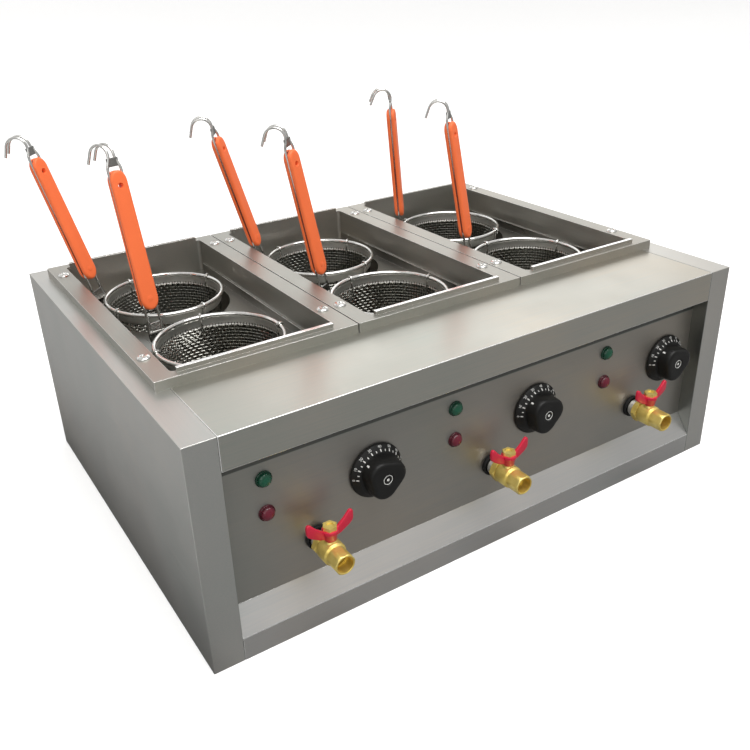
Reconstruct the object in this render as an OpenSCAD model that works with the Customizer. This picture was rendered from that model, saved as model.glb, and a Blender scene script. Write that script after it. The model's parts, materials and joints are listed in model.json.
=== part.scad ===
// Countertop electric pasta cooker: three boiling tanks in a folded steel casing, two baskets in each.
// Millimetres. +X is to the right, +Y to the back, +Z up, and the origin is under the middle of the casing.

/* [Casing] */
// Height of the casing
casing_h = 250; // [240:1:300]
// Thickness of the casing's sheet steel
sheet = 1.5; // [1:0.1:2]
// Width of each front post and of the top flange behind it
post_w = 32.5; // [28:0.5:36.5]
// Width of the casing that shows beside the rims
side_margin = 18; // [14:0.5:22]
// Depth of the casing that shows behind the rims
back_margin = 26; // [20:1:60]
// Height of the header above the control panel
header_h = 36; // [28:1:42]
// Height of the front sill
sill_h = 26.5; // [20:0.5:30]
// Depth of the control panel's recess
recess_d = 19; // [14:0.5:24]
// Rise of the sloped apron from the sill to the control panel
apron_rise = 25.5; // [14:0.5:30]
// How far the control panel reaches up behind the header and down behind the apron
panel_lap = 6; // [3:0.5:10]
// Width of the side panels' rear flanges
rear_flange = 22; // [18:1:30]
// Height of the base pan's turned-up edges
pan_lip = 24; // [12:1:35]
// How far the deck sheets reach under the tank rims
deck_lap = 9; // [5:0.5:10]

/* [Tanks] */
// Height of the rims above the casing
rim_h = 10.5; // [8:0.5:14]
// Gap between neighbouring rims
rim_gap = 1.5; // [0.5:0.5:4]
// Distance from the front of the casing to the rims
rim_front = 106; // [90:1:114]
// Width of the rim beside the tank's mouth
side_flange = 20.5; // [18:0.5:22]
// Width of the rim before and behind the tank's mouth
end_flange = 12; // [11:0.5:14]
// Height and depth of the hem along the mouth's front and back edges
hem = 4.5; // [3:0.5:6]
// Thickness of the tank's sheet
tank_wall = 1.2; // [0.8:0.1:1.5]
// Radius of the tank's upright corners
tank_corner = 5; // [3:0.5:10]
// Width of the bars that the rims are screwed to
rail_w = 14; // [11:0.5:15]
// Distance from the rim's front edge to its front screws
screw_front = 56; // [40:1:80]
// Distance from the rim's back edge to its back screws
screw_back = 40; // [30:1:60]
// Diameter of the rim screws' heads
screw_head_d = 14; // [10:0.5:15]
// Height of the rim screws' heads
screw_head_h = 3; // [2:0.25:4]
// Diameter of the rim screws' shanks
screw_d = 4.8; // [4:0.1:6]

/* [Heating] */
// Diameter of the heating tube
heater_d = 8; // [6:0.5:10]
// Half the distance between the legs of the inner heating loop
heater_inner_r = 25; // [20:1:32]
// Half the distance between the legs of the outer heating loop
heater_outer_r = 56; // [46:1:64]
// Height of the heating tubes above the tank's floor
heater_rise = 16; // [10:0.5:18]
// Distance from the tank's back wall to the heating loops
heater_back = 30; // [20:1:60]
// Length of the heaters' cold ends in front of the tank
heater_tail = 16; // [12:1:24]
// Width across the corners of the heaters' fixing nuts
heater_nut_d = 14; // [12:0.5:16]
// Height of the heaters' fixing nuts
heater_nut_h = 8; // [4:0.5:10]
// Height of the perforated guard over the heaters, above the tank's floor
guard_h = 32.2; // [26:0.2:50]
// Room between the guard and the tank's side walls
guard_side = 10; // [6:0.5:16]
// Room between the guard and the tank's front and back walls
guard_room = 14; // [8:1:30]
// Diameter of the guard's holes
guard_hole_d = 14; // [8:0.5:18]
// Spacing of the guard's holes
guard_pitch = 30; // [24:1:40]

/* [Basket plates] */
// Distance from the rim's top down to the basket plate
plate_drop = 42.5; // [36:0.5:48]
// Height of the plate's turned-up side edges
plate_lip = 11; // [6:0.5:16]
// Clearance between the plate and the tank's walls
plate_room = 0.5; // [0.3:0.1:1.5]
// Clearance between a basket's ring and its hole in the plate
plate_hole_room = 6; // [4:0.25:6.5]
// Distance between the ledges that carry the plate
ledge_pitch = 180; // [150:1:240]
// Length of the ledges that carry the plate
ledge_l = 24; // [15:1:40]
// Depth of the ledges that carry the plate
ledge_d = 6; // [4:0.5:7]

/* [Baskets] */
// Gap between the rings of a tank's two baskets
basket_gap = 22; // [18:0.5:40]
// Room between the rings and the tank's side walls
basket_side = 17; // [15:0.5:30]
// Room between the rings and the tank's front and back walls
basket_end = 23; // [15:0.5:40]
// Height of a basket from its underside to the middle of its ring
basket_h = 121.5; // [108:0.5:128]
// Height of the ring's middle above the basket plate
ring_rise = 16; // [14:0.5:22]
// Outside diameter of the ring
ring_d = 146; // [132:0.5:160]
// Diameter of the ring's wire
ring_wire = 5; // [4:0.25:6]
// Thickness of the cup's wall
cup_wall = 1; // [0.8:0.1:1.6]
// Outside diameter of the cup's foot
cup_foot_d = 120; // [100:1:128]
// Radius of the cup's lower edge
cup_corner = 9; // [5:0.5:14]
// Distance of the cup's upper edge inside the middle of the ring's wire
cup_inset = 1; // [0.5:0.25:1.5]
// Diameter of the four rib wires
rib_wire = 2.6; // [2:0.1:3]
// Room between the wires and the cup, and between a basket and what carries it
basket_room = 0.3; // [0.2:0.05:0.4]
// Depth that the handle's wire is welded into the ring
weld = 0.9; // [0.6:0.1:1.2]

/* [Basket handles] */
// Direction of the front baskets' handles round their rings, in the left, middle and right tank
front_yaw = [130, 146, 146]; // [110:1:170]
// Direction of the back baskets' handles round their rings
back_yaw = [154, 161, 167]; // [110:1:170]
// Outward lean of the front baskets' handles
front_lean = [10, 10, 9]; // [0:1:15]
// Outward lean of the back baskets' handles
back_lean = [15, 15, 5]; // [0:1:15]
// Sideways lean of the front baskets' handles
front_sway = [-5, 2, -1]; // [-6:1:6]
// Sideways lean of the back baskets' handles
back_sway = [-2, 4, 2]; // [-6:1:6]
// Turn of the handles' flat sides away from their basket's middle
handle_turn = -30; // [-35:1:0]
// Diameter of the handle's wire
leg_wire = 3; // [2.5:0.1:3.5]
// Distance between the handle's two legs
leg_gap = 15; // [12:0.5:15]
// Length of the handle's legs below the ring
leg_foot = 12; // [9:0.5:12.5]
// Length of the handle's legs from the ring to the grip
leg_neck = 27; // [26:0.5:34]
// Length of the grip
grip_l = 152; // [120:1:170]
// Width of the grip
grip_w = 20.5; // [19:0.5:24]
// Thickness of the grip
grip_t = 11.5; // [9:0.5:13]
// Radius of the grip's long edges
grip_round = 3; // [1.5:0.25:3.5]
// Gap between the grip's two halves
grip_gap = 0.4; // [0.2:0.1:0.8]
// Width of the grooves along the grip's sides
grip_groove = 2.2; // [1.5:0.1:2.8]
// Diameter of the hanging hole through the grip
grip_hole_d = 5.2; // [4:0.2:7]
// Distance from the grip's upper end to its hanging hole
grip_hole_drop = 16; // [12:1:24]
// Length of the legs between the grip and the hooks
hook_neck = 16; // [12:0.5:24]
// Radius of the hooks
hook_r = 12.5; // [9:0.5:15]
// Length of the hooks' straight ends
hook_tip = 7; // [3:0.5:12]
// Height of the plate that joins the two legs above the grip
bridge_h = 9; // [6:0.5:11]
// Thickness of the plate that joins the two legs
bridge_t = 1; // [0.8:0.1:2]

/* [Controls] */
// Distance of the right knob from the right post
knob_end = 46; // [40:0.5:60]
// Distance between knobs
knob_pitch = 212.5; // [206:0.5:216]
// Height of the knobs below the header
knob_drop = 70; // [58:0.5:74]
// Diameter of the knob's dial
dial_d = 60; // [54:0.5:64]
// Depth of the knob's dial
dial_h = 9; // [7:0.5:11]
// Depth of the upright edge round the dial
dial_edge = 2.7; // [1.5:0.1:4]
// Width of the dial's sloping face
dial_slope = 7; // [5:0.25:9]
// Depth of the whole knob
knob_h = 24; // [21:0.5:30]
// Largest diameter of the knob's lobed grip
lobe_d = 47; // [38:0.5:49]
// Diameter of the round recess in the knob's face
knob_cap_d = 12.5; // [8:0.5:16]
// Depth of the round recess in the knob's face
knob_cap_sink = 0.8; // [0.4:0.1:1.5]
// Depth of the hollows between the knob's lobes
lobe_hollow = 4; // [2:0.25:6]
// Clearance between the knob and the control panel
knob_room = 0.5; // [0.3:0.1:1]
// Diameter of the thermostat's shaft
shaft_d = 6; // [5:0.25:8]
// Length of the thermostat's shaft inside the knob
shaft_out = 17; // [12:0.5:20]
// Length of the thermostat's shaft inside the thermostat
shaft_in = 18; // [10:0.5:20]
// Radial clearance of turning shafts and of the tap's ball
turn_room = 0.3; // [0.2:0.05:0.4]
// Radial clearance of the holes in the sheet panels
hole_room = 0.6; // [0.3:0.1:1]
// Width and height of the thermostat's body
thermostat_w = 36; // [30:1:44]
// Depth of the thermostat's body
thermostat_d = 30; // [22:1:36]
// Diameter of the thermostat's capillary tube
capillary_d = 2; // [1.5:0.25:3]
// Diameter of the thermostat's sensing bulb
bulb_d = 6; // [4:0.5:8]
// Length of the thermostat's sensing bulb
bulb_l = 80; // [50:1:90]
// Distance of the left lamps from the left post
lamp_end = 45.5; // [36:0.5:56]
// Distance between lamps of one colour
lamp_pitch = 221; // [214:0.5:226]
// Height of the green lamps below the header
green_drop = 34; // [24:0.5:40]
// Distance from the green lamps down to the red ones
lamp_step = 37.5; // [28:0.5:44]
// Diameter of the lamp lenses
lens_d = 17; // [14:0.5:20]
// Thickness of the lens's flange
lens_flange = 2; // [1.5:0.25:3]
// Width of the step round the lens's dome
lens_step = 0.5; // [0.25:0.25:1.5]
// Height of the lens's dome
lens_dome = 5; // [3:0.25:6]
// Diameter of the lamp's body behind the panel
lamp_d = 12; // [9:0.5:13]
// Length of the lamp's body behind the panel
lamp_l = 26; // [18:1:36]
// Width across the corners of the lamp's nut
lamp_nut_d = 18; // [16:0.5:20]
// Height of the lamp's nut
lamp_nut_h = 4; // [2:0.5:6]

/* [Drain taps] */
// Height of the drain's axis above the tank's floor
drain_rise = 13; // [12:0.5:15]
// Outside diameter of the drain pipe
pipe_d = 21; // [19:0.5:22]
// Bore of the drain pipe and of the tap's passage
pipe_bore = 14; // [10:0.5:15]
// Outside diameter of the rubber ring behind the tap
gasket_d = 26.5; // [25:0.5:32]
// Thickness of the rubber ring
gasket_t = 4; // [3:0.5:7]
// Length of the drain pipe in front of the control panel
pipe_reach = 11; // [8:0.5:12]
// Distance from the control panel to the tap's stem
stem_reach = 27.5; // [27:0.25:29]
// Distance from the control panel to the tap's outlet
tap_reach = 54; // [50:0.5:60]
// Width across the flats of the tap's inlet hexagon
tap_flats = 24; // [22:0.5:26]
// Width across the flats of the tap's outlet
outlet_flats = 21; // [20.5:0.25:24]
// Length of the tap's outlet
outlet_l = 17; // [14:0.5:18]
// Depth of the bore in the tap's outlet
outlet_depth = 12; // [8:0.5:12]
// Bore of the tap's outlet
outlet_bore = 17.5; // [15:0.25:18.5]
// Diameter of the tap's barrel
barrel_d = 25; // [23.5:0.5:28]
// Length of the tap's barrel
barrel_l = 17; // [16:0.5:20]
// Diameter of the neck between the tap's barrel and its outlet
neck_d = 22.5; // [21.5:0.5:24]
// Diameter of the tap's ball
ball_d = 19; // [18.5:0.25:20]
// Diameter of the tap's stem
stem_d = 7; // [6:0.25:8]
// Height of the tap's boss above its barrel
boss_rise = 1; // [0.5:0.25:4]
// Diameter of the tap's boss
boss_d = 12; // [10:0.5:14]
// Height of the handle's hub
hub_h = 12.5; // [9:0.5:15]
// Diameter of the handle's hub at its top
hub_d = 16.5; // [15:0.5:20]
// Diameter of the handle's hub at its foot
hub_foot_d = 12.5; // [10:0.5:15]
// Height of the wings' lower edge above the hub's foot
wing_root = 4.5; // [1:0.25:6]
// Radius of the wings' corners
wing_round = 4; // [2:0.25:4.5]
// Reach of the handle's wings from the stem
wing_reach = 25.5; // [22:0.25:26]
// Thickness of the handle's wings
wing_t = 3.6; // [3:0.2:5]
// Height of the wings at their ends
wing_h = 18; // [10:0.5:20]
// Rise of the wings' ends above the hub's underside
wing_rise = 7.5; // [4:0.5:12]
// Width across the flats of the handle's nut
nut_flats = 13; // [11:0.5:14]
// Height of the handle's nut
nut_h = 4; // [3:0.5:8]
// Room between the handle's nut and its wings
nut_room = 1; // [0.5:0.25:2]
// Depth of the stem's end below the nut's top
stem_sink = 1.2; // [0.4:0.1:2]

/* [Back and supply] */
// Distance of the cable gland from the casing's right side
gland_side = 111; // [70:1:200]
// Height of the cable gland
gland_z = 60; // [45:1:100]
// Bore of the cable gland
gland_bore = 11; // [8:0.5:12]
// Wall of the cable gland's threaded end
gland_wall = 2.5; // [1.5:0.25:3]
// Width across the flats of the cable gland
gland_flats = 24; // [22:0.5:28]
// Height of the cable gland's hexagons
gland_hex_h = 6; // [4:0.5:8]
// Diameter of the cable gland's cap
gland_cap_d = 23; // [19:0.5:24]
// Length of the cable gland behind the back panel
gland_out = 18; // [12:0.5:24]
// Length of the cable gland's thread inside the casing
gland_thread_l = 10; // [8:0.5:14]
// Diameter of the back panel's screw heads
back_screw_d = 8; // [6:0.5:10]
// Height of the back panel's screw heads
back_screw_h = 2.4; // [1.5:0.1:3]
// Diameter of the back panel's screws
back_shank_d = 4; // [3:0.25:5]
// Number of screws down each side of the back panel
back_screw_count = 4; // [2:1:6]
// Distance of the back panel's end screws from its upper and lower edges
back_screw_end = 30; // [15:1:50]
// Width of the terminal block
block_w = 64; // [48:1:80]
// Depth of the terminal block
block_d = 24; // [18:1:30]
// Height of the terminal block
block_h = 20; // [14:1:28]
// Number of poles on the terminal block
block_poles = 5; // [3:1:6]
// Diameter of the terminal block's screw wells
block_well_d = 6.5; // [4:0.25:7]
// Depth of the terminal block's screw wells
block_well = 8; // [4:0.5:12]
// Distance from the back panel to the terminal block's middle
block_back = 68; // [40:1:120]

/* [Hidden] */
$fn = 64;
overrun = 1;
basket_pitch = ring_d + basket_gap;
tank_w = ring_d + 2 * basket_side;
tank_d = basket_pitch + ring_d + 2 * basket_end;
rim_w = tank_w + 2 * side_flange;
rim_d = tank_d + 2 * end_flange;
tank_pitch = rim_w + rim_gap;
casing_w = 2 * tank_pitch + rim_w + 2 * side_margin;
casing_d = rim_front + rim_d + back_margin;
half_w = casing_w / 2;
half_d = casing_d / 2;
panel_y = -half_d + recess_d;
inner_w = casing_w - 2 * post_w;
header_z = casing_h - header_h;
apron_z = sill_h + apron_rise;

rim_top = casing_h + rim_h;
rim_y0 = -half_d + rim_front;
rim_y1 = rim_y0 + rim_d;
rim_mid = (rim_y0 + rim_y1) / 2;
tank_y0 = rim_y0 + end_flange;
tank_y1 = rim_y1 - end_flange;
rail_x = tank_w / 2 + side_flange / 2;
screw_y = [rim_y0 + screw_front, rim_y1 - screw_back];
screw_room = 0.2;
screw_l = rim_h - screw_room;

plate_z = rim_top - plate_drop;
plate_hole_d = ring_d + 2 * plate_hole_room;
ring_z = plate_z + ring_rise;
ring_r = (ring_d - ring_wire) / 2;
cup_z = ring_z - basket_h;
guard_z = cup_z - basket_room;
tank_floor = guard_z - guard_h;
tank_depth = rim_top - tank_floor;
heater_z = tank_floor + heater_rise;
cup_top_r = ring_r - cup_inset;
cup_top_z = ring_z - sqrt(pow(ring_wire / 2, 2) - pow(cup_inset, 2)) - basket_room;
cup_foot_r = cup_foot_d / 2;
cup_taper = (cup_top_r - cup_foot_r) / (cup_top_z - cup_z);

leg_seat_r = ring_d / 2 + leg_wire / 2 - weld;
leg_across = leg_gap / 2 * cos(handle_turn);
leg_along = leg_gap / 2 * sin(handle_turn);
handle_reach = sqrt(pow(leg_seat_r, 2) - pow(leg_across, 2)) - leg_along;
grip_z = leg_neck;
hook_z = grip_z + grip_l + hook_neck;

knob_z = header_z - knob_drop;
green_z = header_z - green_drop;
red_z = green_z - lamp_step;
drain_z = tank_floor + drain_rise;
gland_x = half_w - gland_side;
gland_thread_d = gland_bore + 2 * gland_wall;
boss_h = barrel_d / 2 + boss_rise;
hub_z = boss_h + turn_room;
nut_z = hub_z + hub_h;
stem_top = nut_z + nut_h - stem_sink;
nut_d = nut_flats / cos(30);

steel = [0.72, 0.71, 0.69];
dark_steel = [0.55, 0.54, 0.52];
bright_steel = [0.82, 0.82, 0.80];
brass = [0.80, 0.66, 0.22];
black = [0.09, 0.09, 0.09];

// Places: tanks, knobs and lamps are counted 0, 1, 2 from the left, and baskets 0 to 5, front before back
function tank_x(i) = (i - 1) * tank_pitch;
function knob_x(i) = inner_w / 2 - knob_end - (2 - i) * knob_pitch;
function lamp_x(i) = -inner_w / 2 + lamp_end + i * lamp_pitch;
function basket_x(k) = tank_x(floor(k / 2));
function basket_y(k) = rim_mid + (k % 2 == 0 ? -1 : 1) * basket_pitch / 2;
function handle_yaw(k) = (k % 2 == 0 ? front_yaw : back_yaw)[floor(k / 2)];
function handle_lean(k) = (k % 2 == 0 ? front_lean : back_lean)[floor(k / 2)];
function handle_sway(k) = (k % 2 == 0 ? front_sway : back_sway)[floor(k / 2)];
function cap_radius(d, h) = (d * d / 4 + h * h) / (2 * h);

// Flat shapes
module rounded_rect(w, d, r) {
    square([w - 2 * r, d], center = true);
    square([w, d - 2 * r], center = true);
    for (x = [-1, 1], y = [-1, 1])
        translate([x * (w / 2 - r), y * (d / 2 - r)]) circle(r);
}

module slot(w, l) {
    square([w, l - w], center = true);
    for (y = [-1, 1])
        translate([0, y * (l - w) / 2]) circle(d = w);
}

// A profile drawn in Y and Z, run along X
module along_x(l) {
    rotate([90, 0, 90]) linear_extrude(l, center = true) children();
}

// A place on the control panel's face, with local Z to the front and local Y up
module on_panel(x, z) {
    translate([x, panel_y, z]) rotate([90, 0, 0]) children();
}

// A round domed head that stands on z = 0
module dome(d, h) {
    r = cap_radius(d, h);
    intersection() {
        translate([0, 0, h - r]) sphere(r);
        cylinder(d = d, h = h);
    }
}

// Casing
module left_side_panel() {
    color(steel) translate([-half_w, -half_d, 0]) {
        cube([sheet, casing_d - sheet, casing_h]);
        cube([post_w, sheet, casing_h]);
        translate([0, 0, casing_h - sheet]) cube([post_w, casing_d - sheet, sheet]);
        translate([post_w - sheet, 0, sheet]) cube([sheet, recess_d + sheet, casing_h - sheet]);
        translate([0, casing_d - 2 * sheet, sheet]) cube([rear_flange, sheet, casing_h - sheet]);
    }
}

module right_side_panel() {
    mirror([1, 0, 0]) left_side_panel();
}

module front_deck() {
    deck_d = rim_front + deck_lap;
    color(bright_steel) translate([-inner_w / 2, -half_d, 0]) {
        translate([0, 0, casing_h - sheet]) cube([inner_w, deck_d, sheet]);
        translate([0, 0, header_z]) cube([inner_w, sheet, header_h]);
        translate([0, 0, header_z]) cube([inner_w, recess_d, sheet]);
    }
}

module control_panel() {
    low = apron_z - panel_lap;
    color(dark_steel) difference() {
        translate([-inner_w / 2, panel_y, low]) cube([inner_w, sheet, header_z + panel_lap - low]);
        for (i = [0:2]) {
            on_panel(knob_x(i), knob_z) cylinder(d = shaft_d + 2 * hole_room, h = 4 * sheet, center = true);
            on_panel(tank_x(i), drain_z) cylinder(d = pipe_d + 2 * hole_room, h = 4 * sheet, center = true);
            for (z = [green_z, red_z])
                on_panel(lamp_x(i), z) cylinder(d = lamp_d + 2 * hole_room, h = 4 * sheet, center = true);
        }
    }
}

module front_sill() {
    slope = apron_rise / recess_d;
    drop = sheet * sqrt(1 + slope * slope);
    color(bright_steel) translate([0, -half_d, 0]) along_x(inner_w)
        polygon([[0, 0], [0, sill_h], [recess_d, apron_z], [recess_d, apron_z - drop],
            [sheet, sill_h + slope * sheet - drop], [sheet, 0]]);
}

module back_panel() {
    color(steel) difference() {
        union() {
            translate([-half_w, half_d - sheet, 0]) cube([casing_w, sheet, casing_h]);
            translate([-inner_w / 2, rim_y1 - deck_lap, casing_h - sheet])
                cube([inner_w, half_d - rim_y1 + deck_lap, sheet]);
        }
        translate([gland_x, half_d, gland_z]) rotate([90, 0, 0])
            cylinder(d = gland_thread_d + 2 * hole_room, h = 4 * sheet, center = true);
        at_back_screws() cylinder(d = back_shank_d + 2 * hole_room, h = 4 * sheet, center = true);
    }
}

// The back panel's screws, with local Z to the back
module at_back_screws() {
    step = (casing_h - 2 * back_screw_end) / (back_screw_count - 1);
    for (x = [-1, 1], n = [0:back_screw_count - 1])
        translate([x * (half_w - rear_flange / 2), half_d, back_screw_end + n * step]) rotate([-90, 0, 0])
            children();
}

module back_screws() {
    color(bright_steel) at_back_screws() {
        dome(back_screw_d, back_screw_h);
        translate([0, 0, -sheet]) cylinder(d = back_shank_d, h = sheet);
    }
}

module base_pan() {
    floor_w = casing_w - 2 * sheet;
    floor_d = casing_d - 2 * sheet;
    color(steel) {
        translate([-floor_w / 2, -floor_d / 2, 0]) cube([floor_w, floor_d, sheet]);
        for (x = [-1, 1])
            translate([x * (floor_w - sheet) / 2, 0, (pan_lip + sheet) / 2])
                cube([sheet, floor_d - 2 * (recess_d + rear_flange), pan_lip + sheet], center = true);
    }
}

// Tanks
module at_rim_screws(i) {
    for (x = [-1, 1], y = screw_y)
        translate([tank_x(i) + x * rail_x, y, rim_top]) children();
}

module tank_rails() {
    rail_l = rim_d - 4 * tank_wall;
    color(steel) difference() {
        for (i = [0:2], x = [-1, 1])
            translate([tank_x(i) + x * rail_x, rim_mid, casing_h + (rim_h - tank_wall) / 2])
                cube([rail_w, rail_l, rim_h - tank_wall], center = true);
        for (i = [0:2])
            at_rim_screws(i) cylinder(d = screw_d + 2 * screw_room, h = 3 * rim_h, center = true);
    }
}

module tank_screws() {
    color(bright_steel) for (i = [0:2])
        at_rim_screws(i) {
            dome(screw_head_d, screw_head_h);
            translate([0, 0, -screw_l]) cylinder(d = screw_d, h = screw_l);
        }
}

module tank(i) {
    tub_w = tank_w + 2 * tank_wall;
    tub_d = tank_d + 2 * tank_wall;
    ledge_weld = tank_wall / 2;
    color(steel) {
        difference() {
            translate([tank_x(i), rim_mid, 0]) {
                translate([0, 0, tank_floor - tank_wall]) linear_extrude(tank_depth + tank_wall)
                    rounded_rect(tub_w, tub_d, tank_corner + tank_wall);
                translate([0, 0, rim_top - tank_wall]) linear_extrude(tank_wall)
                    square([rim_w, rim_d], center = true);
                translate([0, 0, casing_h]) linear_extrude(rim_h) difference() {
                    square([rim_w, rim_d], center = true);
                    square([rim_w - 2 * tank_wall, rim_d - 2 * tank_wall], center = true);
                }
                for (y = [-1, 1])
                    translate([0, y * (tank_d + hem) / 2, rim_top + hem / 2])
                        cube([tank_w - 2 * tank_corner, hem, hem], center = true);
            }
            translate([tank_x(i), rim_mid, tank_floor]) linear_extrude(tank_depth + hem)
                rounded_rect(tank_w, tank_d, tank_corner);
            at_rim_screws(i) cylinder(d = screw_d + 2 * screw_room, h = 3 * tank_wall, center = true);
            at_drain(i) cylinder(d = pipe_bore, h = 4 * tank_wall, center = true);
            at_heater_legs(i) cylinder(d = heater_d + 2 * turn_room, h = 4 * tank_wall, center = true);
        }
        for (x = [-1, 1], y = [-1, 1])
            translate([tank_x(i) + x * (tank_w + ledge_weld - ledge_d) / 2, rim_mid + y * ledge_pitch / 2,
                plate_z - 1.5 * tank_wall])
                cube([ledge_d + ledge_weld, ledge_l, tank_wall], center = true);
    }
}

// The drain's place on the outside of a tank's front wall, with local Z to the front
module at_drain(i) {
    translate([tank_x(i), tank_y0 - tank_wall, drain_z]) rotate([90, 0, 0]) children();
}

// The heater legs' places on the outside of a tank's front wall, with local Z to the front
module at_heater_legs(i) {
    for (r = [heater_inner_r, heater_outer_r], x = [-1, 1])
        translate([tank_x(i) + x * r, tank_y0 - tank_wall, heater_z]) rotate([90, 0, 0]) children();
}

module basket_plate(i) {
    plate_w = tank_w - 2 * plate_room;
    plate_d = tank_d - 2 * plate_room;
    color(steel) difference() {
        translate([tank_x(i), rim_mid, plate_z - tank_wall]) {
            linear_extrude(tank_wall) rounded_rect(plate_w, plate_d, tank_corner);
            for (x = [-1, 1])
                translate([x * (plate_w - tank_wall) / 2, 0, (plate_lip + tank_wall) / 2])
                    cube([tank_wall, plate_d - 2 * tank_corner, plate_lip + tank_wall], center = true);
        }
        for (k = [0:1])
            translate([tank_x(i), basket_y(k), plate_z])
                cylinder(d = plate_hole_d, h = 4 * tank_wall, center = true);
    }
}

// Heating
module heating_elements() {
    bend_y = tank_y1 - heater_back - heater_outer_r;
    leg_l = bend_y - tank_y0 + tank_wall + heater_tail;
    color(dark_steel) for (i = [0:2]) {
        for (r = [heater_inner_r, heater_outer_r])
            translate([tank_x(i), bend_y, heater_z]) {
                rotate_extrude(angle = 180) translate([r, 0]) circle(d = heater_d);
                for (x = [-1, 1])
                    translate([x * r, 0, 0]) rotate([90, 0, 0]) cylinder(d = heater_d, h = leg_l);
            }
        at_heater_legs(i) cylinder(d = heater_nut_d, h = heater_nut_h, $fn = 6);
    }
}

module heater_guards() {
    guard_w = tank_w - 2 * guard_side;
    guard_d = tank_d - 2 * guard_room;
    columns = floor(guard_w / guard_pitch);
    rows = floor(guard_d / guard_pitch);
    color(steel) for (i = [0:2])
        translate([tank_x(i), rim_mid, 0]) {
            translate([0, 0, guard_z - tank_wall]) linear_extrude(tank_wall) difference() {
                square([guard_w, guard_d], center = true);
                for (x = [0:columns - 1], y = [0:rows - 1])
                    translate([x - (columns - 1) / 2, y - (rows - 1) / 2] * guard_pitch)
                        circle(d = guard_hole_d);
            }
            for (x = [-1, 1])
                translate([x * (guard_w - tank_wall) / 2, 0, tank_floor + guard_h / 2])
                    cube([tank_wall, guard_d, guard_h], center = true);
        }
}

module thermostats() {
    bulb_y = tank_y0 - tank_wall - basket_room - bulb_d / 2;
    wire_y = panel_y + sheet + thermostat_d;
    color(dark_steel) for (i = [0:2])
        translate([knob_x(i), 0, knob_z]) {
            difference() {
                translate([0, panel_y + sheet + thermostat_d / 2, 0])
                    cube([thermostat_w, thermostat_d, thermostat_w], center = true);
                translate([0, panel_y, 0]) rotate([-90, 0, 0])
                    cylinder(d = shaft_d + 2 * turn_room, h = sheet + shaft_in + turn_room);
            }
            translate([0, wire_y, 0]) rotate([-90, 0, 0]) cylinder(d = capillary_d, h = bulb_y - wire_y);
            translate([0, bulb_y, -bulb_d]) cylinder(d = bulb_d, h = bulb_l);
        }
}

// Controls
module thermostat_shaft(i) {
    shaft_l = shaft_in + sheet + knob_room + shaft_out;
    color(bright_steel) on_panel(knob_x(i), knob_z)
        translate([0, 0, -sheet - shaft_in]) cylinder(d = shaft_d, h = shaft_l);
}

module lobed_grip() {
    points = 72;
    polygon([for (n = [0:points - 1])
        let (a = n * 360 / points, r = lobe_d / 2 - lobe_hollow * (1 - cos(3 * a - 45)) / 2)
        r * [cos(a), sin(a)]]);
}

module knob(i) {
    rim = dial_d / 2;
    color(black) on_panel(knob_x(i), knob_z) translate([0, 0, knob_room]) difference() {
        union() {
            rotate_extrude()
                polygon([[0, 0], [rim, 0], [rim, dial_edge], [rim - dial_slope, dial_h], [0, dial_h]]);
            linear_extrude(knob_h) lobed_grip();
        }
        translate([0, 0, knob_h - knob_cap_sink]) cylinder(d = knob_cap_d, h = knob_h);
        translate([0, 0, -knob_room]) cylinder(d = shaft_d + turn_room, h = knob_room + shaft_out);
    }
}

module lenses(z, tint) {
    color(tint) for (i = [0:2])
        on_panel(lamp_x(i), z) {
            cylinder(d = lens_d, h = lens_flange);
            translate([0, 0, lens_flange]) dome(lens_d - 2 * lens_step, lens_dome);
        }
}

module lamp_bodies() {
    color(black) for (i = [0:2], z = [green_z, red_z])
        on_panel(lamp_x(i), z) {
            translate([0, 0, -lamp_l]) cylinder(d = lamp_d, h = lamp_l);
            translate([0, 0, -sheet - lamp_nut_h]) cylinder(d = lamp_nut_d, h = lamp_nut_h, $fn = 6);
        }
}

// Drain taps
module drain_pipes() {
    pipe_l = tank_y0 - tank_wall - panel_y + pipe_reach;
    color(bright_steel) for (i = [0:2])
        at_drain(i) difference() {
            cylinder(d = pipe_d, h = pipe_l);
            translate([0, 0, -overrun]) cylinder(d = pipe_bore, h = pipe_l + 2 * overrun);
        }
}

module tap_gaskets() {
    color(black) for (i = [0:2])
        on_panel(tank_x(i), drain_z) difference() {
            cylinder(d = gasket_d, h = gasket_t);
            translate([0, 0, -overrun]) cylinder(d = pipe_d + 2 * turn_room, h = gasket_t + 2 * overrun);
        }
}

// A place on the tap's stem axis at the height of the drain's axis, with local Z up
module at_stem(i) {
    translate([tank_x(i), panel_y - stem_reach, drain_z]) children();
}

module tap_body(i) {
    inlet_d = tap_flats / cos(30);
    outlet_d = outlet_flats / cos(30);
    inlet_l = stem_reach - barrel_l / 2 - pipe_reach;
    color(brass) difference() {
        union() {
            on_panel(tank_x(i), drain_z) {
                translate([0, 0, pipe_reach]) cylinder(d = inlet_d, h = inlet_l, $fn = 6);
                translate([0, 0, stem_reach - barrel_l / 2]) cylinder(d = barrel_d, h = barrel_l);
                translate([0, 0, stem_reach]) cylinder(d = neck_d, h = tap_reach - stem_reach - outlet_l);
                translate([0, 0, tap_reach - outlet_l]) cylinder(d = outlet_d, h = outlet_l, $fn = 6);
            }
            at_stem(i) cylinder(d = boss_d, h = boss_h);
        }
        on_panel(tank_x(i), drain_z) {
            cylinder(d = pipe_bore, h = tap_reach);
            translate([0, 0, tap_reach - outlet_depth]) cylinder(d = outlet_bore, h = 2 * outlet_depth);
        }
        at_stem(i) {
            sphere(d = ball_d + 2 * turn_room);
            cylinder(d = stem_d + 2 * turn_room, h = boss_h + overrun);
        }
    }
}

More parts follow.
